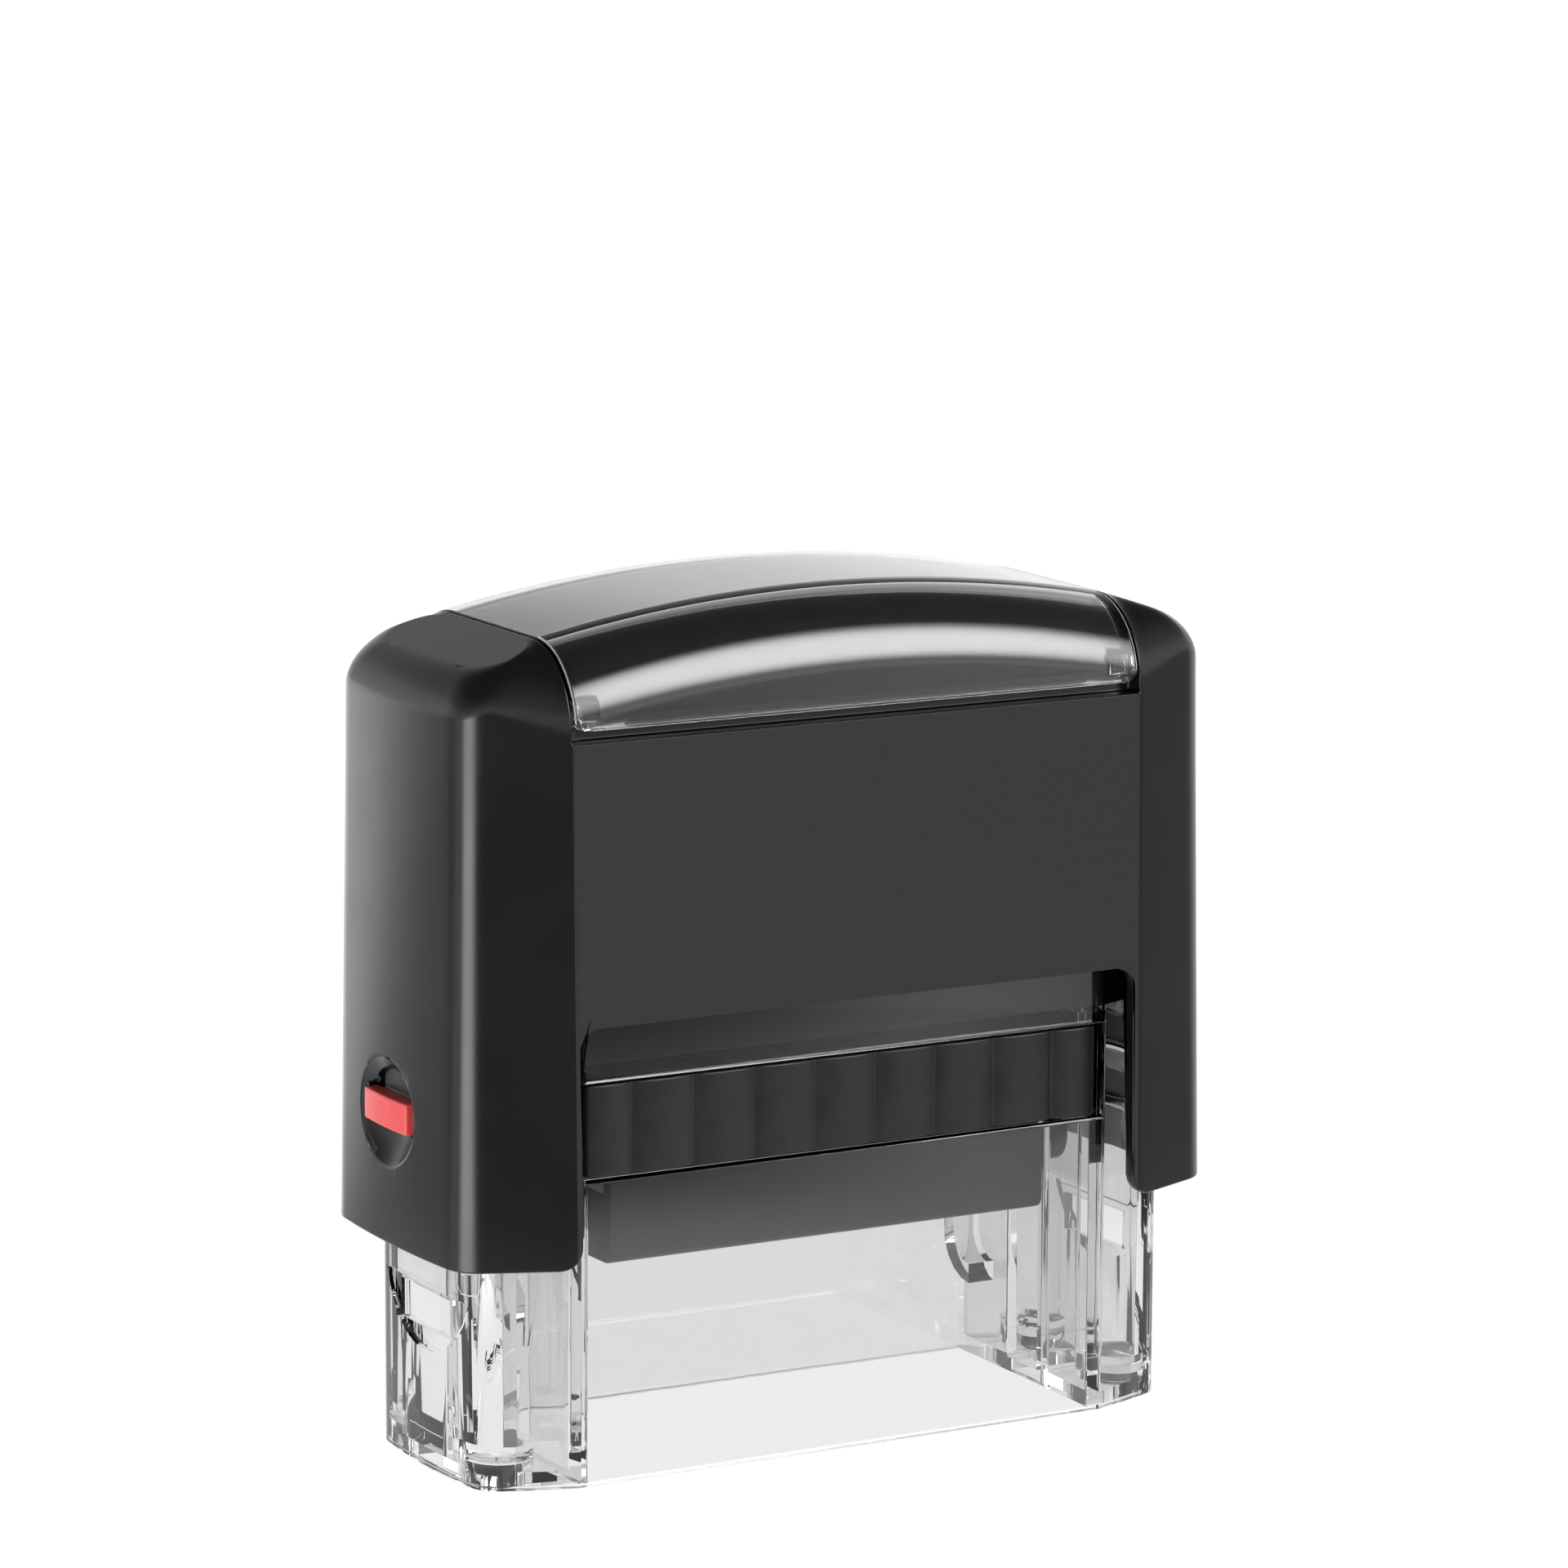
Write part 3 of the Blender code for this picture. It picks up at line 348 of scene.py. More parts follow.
def combine(target, operation, others):
    """Joins, cuts or keeps by a Boolean at once, and removes the other objects."""
    for other in others:
        modifier = target.modifiers.new(operation, "BOOLEAN")
        modifier.operation = operation
        modifier.solver = "EXACT"
        modifier.object = other
    apply_modifiers(target)
    for other in others:
        bpy.data.objects.remove(other, do_unlink=True)
    return target


def cut(target, *others):
    return combine(target, "DIFFERENCE", others)


def join(target, *others):
    return combine(target, "UNION", others)


def keep(target, *others):
    return combine(target, "INTERSECT", others)


def apply_modifiers(obj):
    bpy.context.view_layer.update()
    graph = bpy.context.evaluated_depsgraph_get()
    mesh = bpy.data.meshes.new_from_object(obj.evaluated_get(graph))
    obj.modifiers.clear()
    obj.data = mesh


def soften(obj, width, segments=2, angle=32.0):
    """Rounds an object's sharp edges and shades it smooth, keeping its flat faces flat."""
    bevel = obj.modifiers.new("softened edges", "BEVEL")
    bevel.width = width
    bevel.segments = segments
    bevel.limit_method = "ANGLE"
    bevel.angle_limit = math.radians(angle)
    bevel.use_clamp_overlap = False
    bevel.miter_outer = "MITER_ARC"
    obj.data.shade_smooth()
    flatten_faces(obj)
    return obj


def flatten_faces(obj):
    """Lets the large faces decide the shading, so that they look flat up to their edges."""
    shading = obj.modifiers.new("flat faces", "WEIGHTED_NORMAL")
    shading.weight = 60
    shading.keep_sharp = True
    apply_modifiers(obj)


def soften_long_edges(obj, width, shortest):
    """Rounds only the sharp edges that are at least so long, and leaves the others crisp."""
    bm = bmesh.new()
    bm.from_mesh(obj.data)
    weights = bm.edges.layers.float.new("bevel_weight_edge")
    for edge in bm.edges:
        is_sharp = edge.is_manifold and edge.calc_face_angle() > math.radians(60.0)
        edge[weights] = 1.0 if is_sharp and edge.calc_length() > shortest else 0.0
    bm.to_mesh(obj.data)
    bm.free()
    bevel = obj.modifiers.new("softened edges", "BEVEL")
    bevel.width = width
    bevel.segments = 2
    bevel.limit_method = "WEIGHT"
    bevel.use_clamp_overlap = False
    apply_modifiers(obj)
    obj.data.shade_smooth()
    obj.data.set_sharp_from_angle(angle=math.radians(28.0))
    flatten_faces(obj)
    return obj


def softened_copy(node, name, width, **rounding):
    return soften(whole_copy(node, name), width, **rounding)


def whole_copy(node, name):
    """A new piece from a CAD node's solid, with its flat faces whole again."""
    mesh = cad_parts[node].data.copy()
    mesh.materials.clear()
    obj = bpy.data.objects.new(name, mesh)
    PIECES.objects.link(obj)
    bm = bmesh.new()
    bm.from_mesh(mesh)
    bmesh.ops.remove_doubles(bm, verts=bm.verts, dist=2e-6)
    bmesh.ops.dissolve_limit(bm, angle_limit=math.radians(0.5), verts=bm.verts, edges=bm.edges)
    bmesh.ops.recalc_face_normals(bm, faces=bm.faces)
    bm.to_mesh(mesh)
    bm.free()
    return obj


def place(obj, body, node, slot, *materials):
    """Makes an object the visible piece for a CAD node."""
    for material in materials:
        obj.data.materials.append(material)
    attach(obj, body)
    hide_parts(node)
    return obj


# Materials


def principled(name, colour, roughness, specular=0.5, metallic=0.0, transmission=0.0, ior=1.5):
    material = bpy.data.materials.new(name)
    material.use_nodes = True
    shader = material.node_tree.nodes["Principled BSDF"]
    shader.inputs["Base Color"].default_value = (*colour, 1.0)
    shader.inputs["Roughness"].default_value = roughness
    shader.inputs["Specular IOR Level"].default_value = specular
    shader.inputs["Metallic"].default_value = metallic
    shader.inputs["Transmission Weight"].default_value = transmission
    shader.inputs["IOR"].default_value = ior
    return material


def noise_node(material, size, detail=2.0):
    """A noise whose features are about that size, in the piece's own space."""
    nodes = material.node_tree.nodes
    links = material.node_tree.links
    place_node = nodes.new("ShaderNodeTexCoord")
    texture = nodes.new("ShaderNodeTexNoise")
    texture.inputs["Scale"].default_value = 1.0 / size
    texture.inputs["Detail"].default_value = detail
    links.new(place_node.outputs["Object"], texture.inputs["Vector"])
    return texture


def calculate(tree, operation, first, second):
    """A Math node on two numbers or outputs of other nodes."""
    node = tree.nodes.new("ShaderNodeMath")
    node.operation = operation
    for socket, value in zip(node.inputs, (first, second)):
        if isinstance(value, float):
            socket.default_value = value
        else:
            tree.links.new(value, socket)
    return node.outputs["Value"]


def add_grain(material, size, strength, depth):
    """A fine moulded grain as bump."""
    nodes = material.node_tree.nodes
    links = material.node_tree.links
    texture = noise_node(material, size)
    bump = nodes.new("ShaderNodeBump")
    bump.inputs["Strength"].default_value = strength
    bump.inputs["Distance"].default_value = depth
    links.new(texture.outputs["Fac"], bump.inputs["Height"])
    links.new(bump.outputs["Normal"], nodes["Principled BSDF"].inputs["Normal"])
    return material


def vary(material, socket, low, high, size):
    """Lets a value or a colour wander between low and high over the surface."""
    nodes = material.node_tree.nodes
    links = material.node_tree.links
    texture = noise_node(material, size, detail=3.0)
    ramp = nodes.new("ShaderNodeValToRGB")
    ramp.color_ramp.elements[0].position = 0.35
    ramp.color_ramp.elements[1].position = 0.65
    for element, value in zip(ramp.color_ramp.elements, (low, high)):
        element.color = (*value, 1.0) if isinstance(value, tuple) else (value, value, value, 1.0)
    links.new(texture.outputs["Fac"], ramp.inputs["Fac"])
    links.new(ramp.outputs["Color"], nodes["Principled BSDF"].inputs[socket])
    return material


def gloss_black():
    """Polished moulded plastic, with the faint haze of handling."""
    return vary(principled("cap_gloss", (0.006, 0.006, 0.0065), 0.22), "Roughness", 0.2, 0.26, 9.0 * MM)


def panel_black():
    """The spark-eroded texture of the cap's front and back."""
    material = principled("panel_texture", (0.021, 0.021, 0.022), 0.5, 0.3)
    vary(material, "Roughness", 0.46, 0.56, 0.6 * MM)
    return add_grain(material, 0.11 * MM, 0.35, 0.02 * MM)


def satin_black(name, colour=(0.01, 0.01, 0.0105), roughness=0.36):
    material = principled(name, colour, roughness, 0.45)
    vary(material, "Roughness", roughness - 0.04, roughness + 0.05, 2.0 * MM)
    return add_grain(material, 0.16 * MM, 0.2, 0.01 * MM)


def clear_plastic(name, tint):
    """Clear polystyrene, with the faint flow lines of its moulding."""
    material = principled(name, tint, 0.0, transmission=1.0, ior=1.55)
    return add_grain(material, 7.0 * MM, 0.06, 0.2 * MM)


def coral_red():
    """Coral red plastic on the face; the body and arm inboard of it are painted near-black as painted
    shade.
    """
    material = principled("button_red", (0.85, 0.085, 0.09), 0.34)
    vary(material, "Base Color", (0.83, 0.078, 0.083), (0.88, 0.095, 0.1), 1.5 * MM)
    add_grain(material, 0.12 * MM, 0.15, 0.01 * MM)
    tree = material.node_tree
    colour = tree.nodes["Principled BSDF"].inputs["Base Color"]
    # Painted shade: inboard of the red face the colour turns near-black, standing in for the shade on the
    # button's body and spring arm.
    spot = tree.nodes.new("ShaderNodeTexCoord")
    split = tree.nodes.new("ShaderNodeSeparateXYZ")
    tree.links.new(spot.outputs["Object"], split.inputs["Vector"])
    distance = calculate(tree, "ABSOLUTE", split.outputs["X"], 0.0)
    shade_mix = tree.nodes.new("ShaderNodeMixRGB")
    tree.links.new(calculate(tree, "GREATER_THAN", distance, PAINTED_SHADE_EDGE_X), shade_mix.inputs["Fac"])
    shade_mix.inputs["Color1"].default_value = (0.01, 0.01, 0.0105, 1.0)
    tree.links.new(colour.links[0].from_socket, shade_mix.inputs["Color2"])
    tree.links.new(shade_mix.outputs["Color"], colour)
    return material


def dark_grey():
    material = principled("holder_grey", (0.036, 0.036, 0.038), 0.55)
    vary(material, "Roughness", 0.5, 0.62, 1.2 * MM)
    return add_grain(material, 0.14 * MM, 0.3, 0.015 * MM)


def black_rubber():
    material = principled("foot_rubber", (0.012, 0.012, 0.012), 0.6, 0.4)
    return add_grain(material, 0.1 * MM, 0.4, 0.02 * MM)


def bright_steel():
    material = principled("spring_steel", (0.62, 0.62, 0.64), 0.25, metallic=1.0)
    return vary(material, "Roughness", 0.2, 0.34, 0.8 * MM)


def inked_felt():
    """Felt soaked with blue ink, in fibres and damp patches."""
    material = principled("inked_felt", (0.012, 0.03, 0.2), 0.85, 0.3)
    vary(material, "Base Color", (0.006, 0.016, 0.12), (0.02, 0.05, 0.3), 1.1 * MM)
    return add_grain(material, 0.18 * MM, 0.9, 0.06 * MM)


def pale_foam():
    material = principled("cushion_foam", (0.62, 0.6, 0.55), 0.9, 0.2)
    vary(material, "Base Color", (0.56, 0.54, 0.49), (0.68, 0.66, 0.61), 0.5 * MM)
    return add_grain(material, 0.15 * MM, 0.8, 0.05 * MM)


def stamp_rubber():
    """Laser-cut rubber, stained by ink where it prints."""
    material = principled("stamp_rubber", (0.3, 0.06, 0.05), 0.6)
    vary(material, "Base Color", (0.05, 0.035, 0.12), (0.32, 0.06, 0.05), 1.6 * MM)
    return add_grain(material, 0.12 * MM, 0.4, 0.02 * MM)


def card_black():
    material = principled("index_card", (0.01, 0.01, 0.0105), 0.55, 0.3)
    return add_grain(material, 0.2 * MM, 0.3, 0.01 * MM)


# Pieces of the cap


def cutout_cutter():
    """The opening in the cap's front and back, with round corners and legs that flare at their feet."""
    foot = CAP_LOW.z
    flare = (CUTOUT_HALF_X + LEG_CORNER, foot + LEG_CORNER)
    side = [(flare[0], foot - 5.0 * MM)]
    side += arc(flare, LEG_CORNER, 270.0, 180.0)
    top = (CUTOUT_HALF_X - CUTOUT_CORNER, CUTOUT_TOP - CUTOUT_CORNER)
    side += arc(top, CUTOUT_CORNER, 0.0, 90.0)
    return prism("cut-out", mirrored(side), 1, -20.0 * MM, 20.0 * MM)


def scoop_cutter(sign):
    radius = (SCOOP_HALF_Z**2 + SCOOP_DEPTH**2) / (2.0 * SCOOP_DEPTH)
    centre_x = sign * (SCOOP_RIM_X - SCOOP_DEPTH + radius)
    return ball("scoop", (centre_x, BUTTON_Y, BUTTON_Z), radius, SCOOP_WIDENING)


def button_slot_cutter(sign):
    half_y = BUTTON_HALF_Y + BUTTON_GAP
    half_z = BUTTON_HALF_Z + BUTTON_GAP
    x_range = (BOSS_X[0] - 1.0 * MM, CAP_HIGH.x + 2.0 * MM)
    y_range = (BUTTON_Y - half_y, BUTTON_Y + half_y)
    z_range = (BUTTON_Z - half_z, BUTTON_Z + half_z)
    return end_box("button slot", x_range, y_range, z_range, sign)


def arm_channel_cutter(sign):
    gap = 0.3 * MM
    x_range = (BOSS_X[0] - 1.0 * MM, ARM_X[1] + gap)
    y_range = (BUTTON_Y - ARM_HALF_Y - gap, BUTTON_Y + ARM_HALF_Y + gap)
    return end_box("arm channel", x_range, y_range, (BUTTON_Z, BUTTON_HIGH.z + gap), sign)


def cap_moulding():
    cap = arched_block("cap_moulding", 0.0, CAP_LOW.z, levels=8)
    place(cap, "cap", "cap_shell", "cap_plastic", gloss_black(), panel_black())
    for face in cap.data.polygons:
        is_side = face.center.z < PANEL_TOP and abs(face.normal.y) > 0.9
        face.material_index = 1 if is_side and abs(face.center.x) < PANEL_HALF_X else 0
    hollow = drafted_block("hollow", CAP_WALL, CAP_LOW.z - 5.0 * MM, CAVITY_TOP)
    crown = arched_block("crown hollow", CAVITY_INSET, CAVITY_TOP - 2.0 * MM, CAVITY_INSET + 0.2 * MM)
    far = 20.0 * MM
    seat = box("seat", (-PANEL_HALF_X, -far, PANEL_TOP), (PANEL_HALF_X, far, 4.0 * far))
    cut(seat, arched_block("seat floor", SEAT_INSET, CAVITY_TOP))
    cut(cap, hollow, crown, seat, cutout_cutter())
    for sign in (-1.0, 1.0):
        boss_ends = [(sign * x, BUTTON_Y, BUTTON_Z) for x in BOSS_X]
        join(cap, cylinder("boss", *boss_ends, BOSS_R))
        cut(cap, scoop_cutter(sign), button_slot_cutter(sign), arm_channel_cutter(sign))
    soften(cap, 0.14 * MM)
    return cap


def window_region():
    """Where the window is: between the shoulders and down to its lower edge, with round lower corners."""
    half_x = WINDOW_HIGH.x
    low = WINDOW_LOW.z
    side = arc((half_x - WINDOW_CORNER, low + WINDOW_CORNER), WINDOW_CORNER, 270.0, 360.0)
    side.append((half_x, 80.0 * MM))
    return prism("window region", mirrored(side), 1, -20.0 * MM, 20.0 * MM)


def clip_pocket(sign, side):
    """The moulded pocket by each lower corner of the window, where its snap clip is."""
    y_range = sorted((side * (TOP_HALF_Y - WINDOW_WALL - 1.0 * MM), side * (TOP_HALF_Y - 0.55 * MM)))
    z_range = (WINDOW_LOW.z + 0.6 * MM, WINDOW_LOW.z + 2.2 * MM)
    x_range = (WINDOW_HIGH.x - 2.3 * MM, WINDOW_HIGH.x - 0.7 * MM)
    return end_box("clip pocket", x_range, y_range, z_range, sign)


def window_moulding():
    window = arched_block("window_moulding", 0.0, CAVITY_TOP)
    keep(window, window_region())
    pockets = [clip_pocket(sign, side) for sign in (-1.0, 1.0) for side in (-1.0, 1.0)]
    cut(window, arched_block("inside", WINDOW_WALL, CAVITY_TOP), *pockets)
    soften(window, 0.12 * MM)
    clear = clear_plastic("window_clear", (0.97, 0.97, 0.975))
    return place(window, "window", "index_window", "window_plastic", clear)


def card():
    sheet = arched_block("index_card_sheet", CARD_INSETS[0], CAVITY_TOP)
    far = 20.0 * MM
    keep(sheet, box("region", (CARD_LOW.x, -far, CARD_LOW.z), (CARD_HIGH.x, far, 4.0 * far)))
    cut(sheet, arched_block("inside", CARD_INSETS[1], CAVITY_TOP))
    soften(sheet, 0.03 * MM, segments=1)
    return place(sheet, "cap", "index_card", "index_card", card_black())


def button_moulding(name, node, sign):
    """A lock button with a bowed face, and its spring arm."""
    bow = 40.0 * MM
    face_x = BUTTON_HIGH.x
    outline = [(sign * BUTTON_LOW.x, BUTTON_LOW.y)]
    steps = 16
    for i in range(steps + 1):
        y = BUTTON_HALF_Y * (2.0 * i / steps - 1.0)
        x = face_x - (bow - math.sqrt(bow**2 - y**2))
        outline.append((sign * x, BUTTON_Y + y))
    outline.append((sign * BUTTON_LOW.x, BUTTON_HIGH.y))
    head = prism(name, outline, 2, BUTTON_Z - BUTTON_HALF_Z, BUTTON_Z + BUTTON_HALF_Z)
    arm_y = (BUTTON_Y - ARM_HALF_Y, BUTTON_Y + ARM_HALF_Y)
    join(head, end_box("arm", ARM_X, arm_y, (BUTTON_Z, BUTTON_HIGH.z), sign))
    soften(head, 0.2 * MM, segments=3)
    body = "button_right" if sign > 0 else "button_left"
    return place(head, body, node, "button_plastic", coral_red())


# Pieces of the base and the cartridge


def base_moulding():
    """The clear frame, whose short edges stay crisp and whose long ones are rounded."""
    base = soften_long_edges(whole_copy("base_frame", "frame_moulding"), 0.12 * MM, 9.0 * MM)
    clear = clear_plastic("frame_clear", (0.81, 0.815, 0.82))
    return place(base, "base", "base_frame", "clear_plastic", clear)


def grip_outline():
    """The grip in plan: a row of pillow-shaped pads across its front."""
    width = 2.0 * GRIP_HALF_X / (GRIP_PADS - 2 + 2 * GRIP_END_SHARE)
    front = CARTRIDGE_LOW.y + GRIP_BULGE
    points = [(GRIP_HALF_X, front + GRIP_THICKNESS), (-GRIP_HALF_X, front + GRIP_THICKNESS)]
    x = -GRIP_HALF_X
    steps = 16
    for pad in range(GRIP_PADS):
        wide = width * (GRIP_END_SHARE if pad in (0, GRIP_PADS - 1) else 1.0)
        for i in range(0 if pad == 0 else 1, steps + 1):
            share = i / steps
            points.append((x + wide * share, front - GRIP_BULGE * math.sin(math.pi * share) ** 0.5))
        x += wide
    return points


def cartridge_moulding():
    low, high = CARTRIDGE_LOW, CARTRIDGE_HIGH
    tray_x = 21.7 * MM
    front = low.y + GRIP_BULGE + 0.2 * MM
    tray_low = PAD_LOW.z + 0.05 * MM
    tray = box("cartridge_moulding", (-tray_x, front, tray_low), (tray_x, high.y, high.z + 0.1 * MM))
    grip = prism("grip", grip_outline(), 2, low.z, high.z)
    join(tray, grip)
    gap = 0.3 * MM
    recess_low = (PAD_LOW.x - gap, PAD_LOW.y - gap, tray_low - 3.0 * MM)
    recess_high = (PAD_HIGH.x + gap, PAD_HIGH.y + gap, PAD_HIGH.z + 0.1 * MM)
    cut(tray, box("pad recess", recess_low, recess_high, radius=0.5 * MM, along="Z"))
    soften(tray, 0.18 * MM, segments=2, angle=25.0)
    return place(tray, "cartridge", "pad_cartridge", "cartridge_plastic", satin_black("cartridge_satin"))


def ink_pad():
    """The felt pad: a crowned block whose surface the plate has pressed uneven."""
    bm = bmesh.new()
    bmesh.ops.create_grid(bm, x_segments=60, y_segments=26, size=0.5)
    size = PAD_HIGH - PAD_LOW
    centre = (PAD_HIGH + PAD_LOW) / 2.0
    top = bmesh.ops.extrude_face_region(bm, geom=bm.faces[:])["geom"]
    for vert in (item for item in top if isinstance(item, bmesh.types.BMVert)):
        vert.co.z = 1.0
    for vert in bm.verts:
        x, y = 2.0 * vert.co.x, 2.0 * vert.co.y
        edge = (1.0 - x**8) * (1.0 - y**8)
        spot = Vector((vert.co.x * size.x, vert.co.y * size.y, 0.0)) + centre
        ripple = noise.noise(spot / (2.5 * MM)) * 0.03 * MM
        droop = 0.25 * MM * (1.0 - edge)
        if vert.co.z > 0.5:
            spot.z = PAD_HIGH.z - droop
        else:
            spot.z = PAD_LOW.z + 0.05 * MM + droop + ripple
        vert.co = spot
    pad = finish_mesh("ink_pad_felt", bm)
    pad.data.shade_smooth()
    place(pad, "cartridge", "ink_pad", "ink_pad_foam", inked_felt())
    return pad


def spring():
    """The compression spring, with a closed turn at each end."""
    wire = 0.35 * MM
    mean_r = SPRING_HIGH.x - wire
    turns = 8.5
    per_turn = 32
    low, high = SPRING_LOW.z + wire, SPRING_HIGH.z - wire
    closed = 2.2 * wire
    curve = bpy.data.curves.new("main_spring_coil", "CURVE")
    curve.dimensions = "3D"
    curve.bevel_depth = wire
    curve.bevel_resolution = 3
    curve.use_fill_caps = True
    spline = curve.splines.new("POLY")
    count = round(turns * per_turn)
    spline.points.add(count)
    for i, point in enumerate(spline.points):
        turn = i / per_turn
        rising = min(max(turn - 1.0, 0.0), turns - 2.0)
        flat = min(turn, 1.0) + max(turn - (turns - 1.0), 0.0)
        z = low + closed * flat + (high - low - 2.0 * closed) * rising / (turns - 2.0)
        angle = 2.0 * math.pi * turn
        point.co = (mean_r * math.cos(angle), mean_r * math.sin(angle), z, 1.0)
    coil = bpy.data.objects.new("main_spring_coil", curve)
    PIECES.objects.link(coil)
    bpy.context.view_layer.update()
    mesh = bpy.data.meshes.new_from_object(coil.evaluated_get(bpy.context.evaluated_depsgraph_get()))
    bpy.data.objects.remove(coil, do_unlink=True)
    solid = bpy.data.objects.new("main_spring_wire", mesh)
    PIECES.objects.link(solid)
    mesh.shade_smooth()
    mesh.materials.clear()
    place(solid, "base", "main_spring", "spring_steel", bright_steel())
    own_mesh(solid)
    return solid


def plain_pieces():
    """The pieces whose CAD solid has the right shape.

    Each row is a name, body, CAD node, slot, material and width of the rounded edges.
    """
    black = satin_black("inner_satin")
    steel = bright_steel()
    rubber = black_rubber()
    rows = [
        ("spring_bridge", "base", "inner_bridge", "inner_plastic", black, 0.2 * MM),
        ("yoke_moulding", "cap", "flip_yoke", "inner_plastic", black, 0.15 * MM),
        ("plate_holder", "die", "die_holder", "holder_plastic", dark_grey(), 0.2 * MM),
        ("plate_cushion", "die", "die_cushion", "cushion_foam", pale_foam(), 0.2 * MM),
        ("text_plate", "die", "rubber_die", "die_rubber", stamp_rubber(), 0.08 * MM),
    ]
    for end in ("left", "right"):
        rows.append((f"pivot_pin_{end}", "die", f"axle_pin_{end}", "spring_steel", steel, 0.15 * MM))
        for depth in ("front", "rear"):
            node = f"rubber_foot_{depth}_{end}"
            rows.append((f"foot_{depth}_{end}", "base", node, "foot_rubber", rubber, 0.1 * MM))
    for name, body, node, slot, material, width in rows:
        piece = place(softened_copy(node, name, width), body, node, slot, material)


# Studio


def toward(azimuth, elevation=0.0):
    """The direction of an azimuth anticlockwise from +X, in degrees."""
    azimuth, elevation = math.radians(azimuth), math.radians(elevation)
    level = math.cos(elevation)
    return Vector((level * math.cos(azimuth), level * math.sin(azimuth), math.sin(elevation)))


# Cards on the floor and lamps on the walls: (aim, inner angle, outer angle, amount of light).
FLOOR_GLOW = 1.02
FLOOR_CARDS = (
    (toward(256.0), 16.0, 56.0, -0.9),
    (toward(334.0), 8.0, 32.0, -0.72),
    (toward(202.0), 6.0, 20.0, 5.0),
    (toward(105.0), 4.0, 20.0, 0.9),
    (toward(142.0), 8.0, 26.0, -0.6),
)
LAMPS = (
    (toward(-57.0, 30.0), 6.0, 24.0, 7.0),
)
WALL_LEVELS = ((0.0, 1.0), (0.2, 0.9), (0.42, 0.35), (0.72, 0.06))


def add_camera():
    """Front left and a little above, through a long lens."""
    azimuth, elevation, roll = math.radians(29.03), math.radians(10.51), math.radians(0.21)
    target = Vector((0.7 * MM, 0.0, 51.12 * MM))
    distance = 519.4 * MM
    level = math.cos(elevation)
    ahead = Vector((math.sin(azimuth) * level, math.cos(azimuth) * level, -math.sin(elevation)))
    data = bpy.data.cameras.new("camera")
    data.lens = 152.2
    data.sensor_width = 36.0
    data.clip_start = 0.01
    data.clip_end = 20.0
    camera = bpy.data.objects.new("camera", data)
    camera.location = target - distance * ahead
    turn = ahead.to_track_quat("-Z", "Y").to_matrix().to_4x4() @ Matrix.Rotation(roll, 4, "Z")
    camera.rotation_euler = turn.to_euler()
    bpy.context.scene.collection.objects.link(camera)
    bpy.context.scene.camera = camera


def add_lobes(tree, direction, total, lobes):
    """Adds soft round patches to a light level: (aim, inner angle, outer angle, amount)."""
    for aim, inner, outer, amount in lobes:
        dot = tree.nodes.new("ShaderNodeVectorMath")
        dot.operation = "DOT_PRODUCT"
        dot.inputs[1].default_value = aim
        tree.links.new(direction, dot.inputs[0])
        patch = tree.nodes.new("ShaderNodeMapRange")
        patch.interpolation_type = "SMOOTHSTEP"
        patch.inputs["From Min"].default_value = math.cos(math.radians(outer))
        patch.inputs["From Max"].default_value = math.cos(math.radians(inner))
        patch.inputs["To Min"].default_value = 0.0
        patch.inputs["To Max"].default_value = amount
        tree.links.new(dot.outputs["Value"], patch.inputs["Value"])
        total = calculate(tree, "ADD", total, patch.outputs["Result"])
    return total


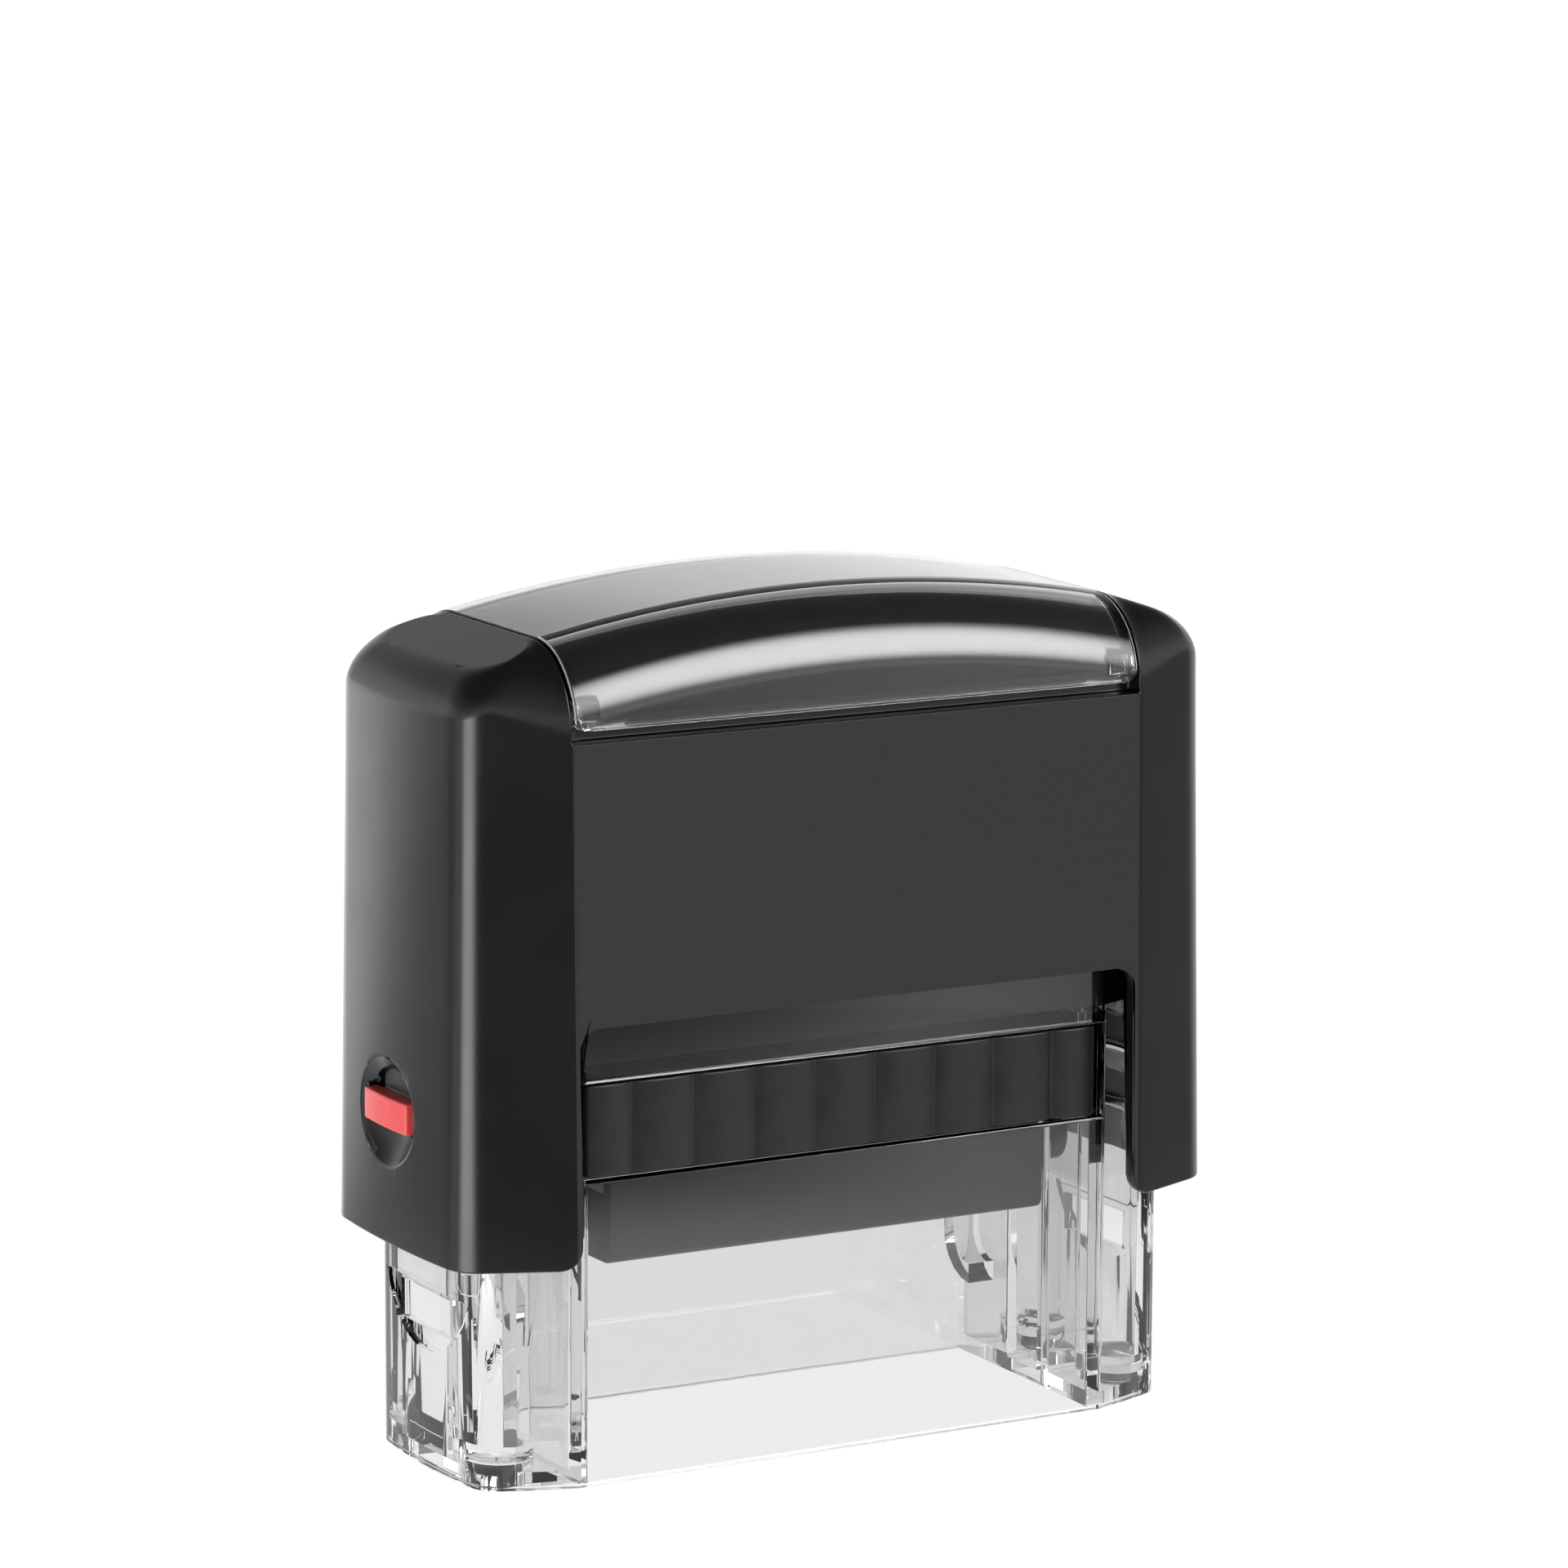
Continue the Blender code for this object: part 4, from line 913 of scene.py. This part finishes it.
def add_floor():
    """A plain glowing white sheet, where the stamp's sides reflect dark and bright cards laid round it."""
    bm = bmesh.new()
    bmesh.ops.create_circle(bm, cap_ends=True, segments=96, radius=6.0)
    mesh = bpy.data.meshes.new("floor")
    bm.to_mesh(mesh)
    bm.free()
    floor = bpy.data.objects.new("floor", mesh)
    bpy.context.scene.collection.objects.link(floor)
    material = principled("floor", (0.02, 0.02, 0.02), 0.9, 0.0)
    tree = material.node_tree
    spot = tree.nodes.new("ShaderNodeTexCoord")
    unit = tree.nodes.new("ShaderNodeVectorMath")
    unit.operation = "NORMALIZE"
    tree.links.new(spot.outputs["Object"], unit.inputs[0])
    reach = tree.nodes.new("ShaderNodeVectorMath")
    reach.operation = "LENGTH"
    tree.links.new(spot.outputs["Object"], reach.inputs[0])
    cards = add_lobes(tree, unit.outputs["Vector"], 0.0, FLOOR_CARDS)
    share = tree.nodes.new("ShaderNodeMapRange")
    share.interpolation_type = "SMOOTHSTEP"
    share.inputs["From Min"].default_value = 0.07
    share.inputs["From Max"].default_value = 0.1
    tree.links.new(reach.outputs["Value"], share.inputs["Value"])
    ray = tree.nodes.new("ShaderNodeLightPath")
    reflected = calculate(tree, "SUBTRACT", 1.0, ray.outputs["Is Camera Ray"])
    shown = calculate(tree, "MULTIPLY", share.outputs["Result"], reflected)
    glow = calculate(tree, "ADD", calculate(tree, "MULTIPLY", cards, shown), FLOOR_GLOW)
    shader = tree.nodes["Principled BSDF"]
    shader.inputs["Emission Color"].default_value = (1.0, 1.0, 1.0, 1.0)
    tree.links.new(glow, shader.inputs["Emission Strength"])
    mesh.materials.append(material)


def add_world():
    """White walls low down that darken towards the ceiling, with soft lamps in front of them."""
    world = bpy.data.worlds.new("studio")
    bpy.context.scene.world = world
    world.use_nodes = True
    tree = world.node_tree
    spot = tree.nodes.new("ShaderNodeTexCoord")
    split = tree.nodes.new("ShaderNodeSeparateXYZ")
    ramp = tree.nodes.new("ShaderNodeValToRGB")
    ramp.color_ramp.interpolation = "EASE"
    for i, (position, level) in enumerate(WALL_LEVELS):
        element = ramp.color_ramp.elements[i] if i < 2 else ramp.color_ramp.elements.new(position)
        element.position = position
        element.color = (level, level, level, 1.0)
    tree.links.new(spot.outputs["Generated"], split.inputs["Vector"])
    tree.links.new(split.outputs["Z"], ramp.inputs["Fac"])
    lamps = add_lobes(tree, spot.outputs["Generated"], ramp.outputs["Color"], LAMPS)
    tree.links.new(lamps, tree.nodes["Background"].inputs["Strength"])
    tree.nodes["Background"].inputs["Color"].default_value = (1.0, 1.0, 1.0, 1.0)


def add_studio():
    add_camera()
    add_floor()
    add_world()
    scene = bpy.context.scene
    scene.view_settings.view_transform = "Standard"
    scene.cycles.transmission_bounces = 24
    scene.cycles.max_bounces = 24


add_studio()
cap_moulding()
window_moulding()
card()
button_moulding("button_left_moulding", "lock_button_left", -1.0)
button_moulding("button_right_moulding", "lock_button_right", 1.0)
base_moulding()
cartridge_moulding()
ink_pad()
spring()
plain_pieces()
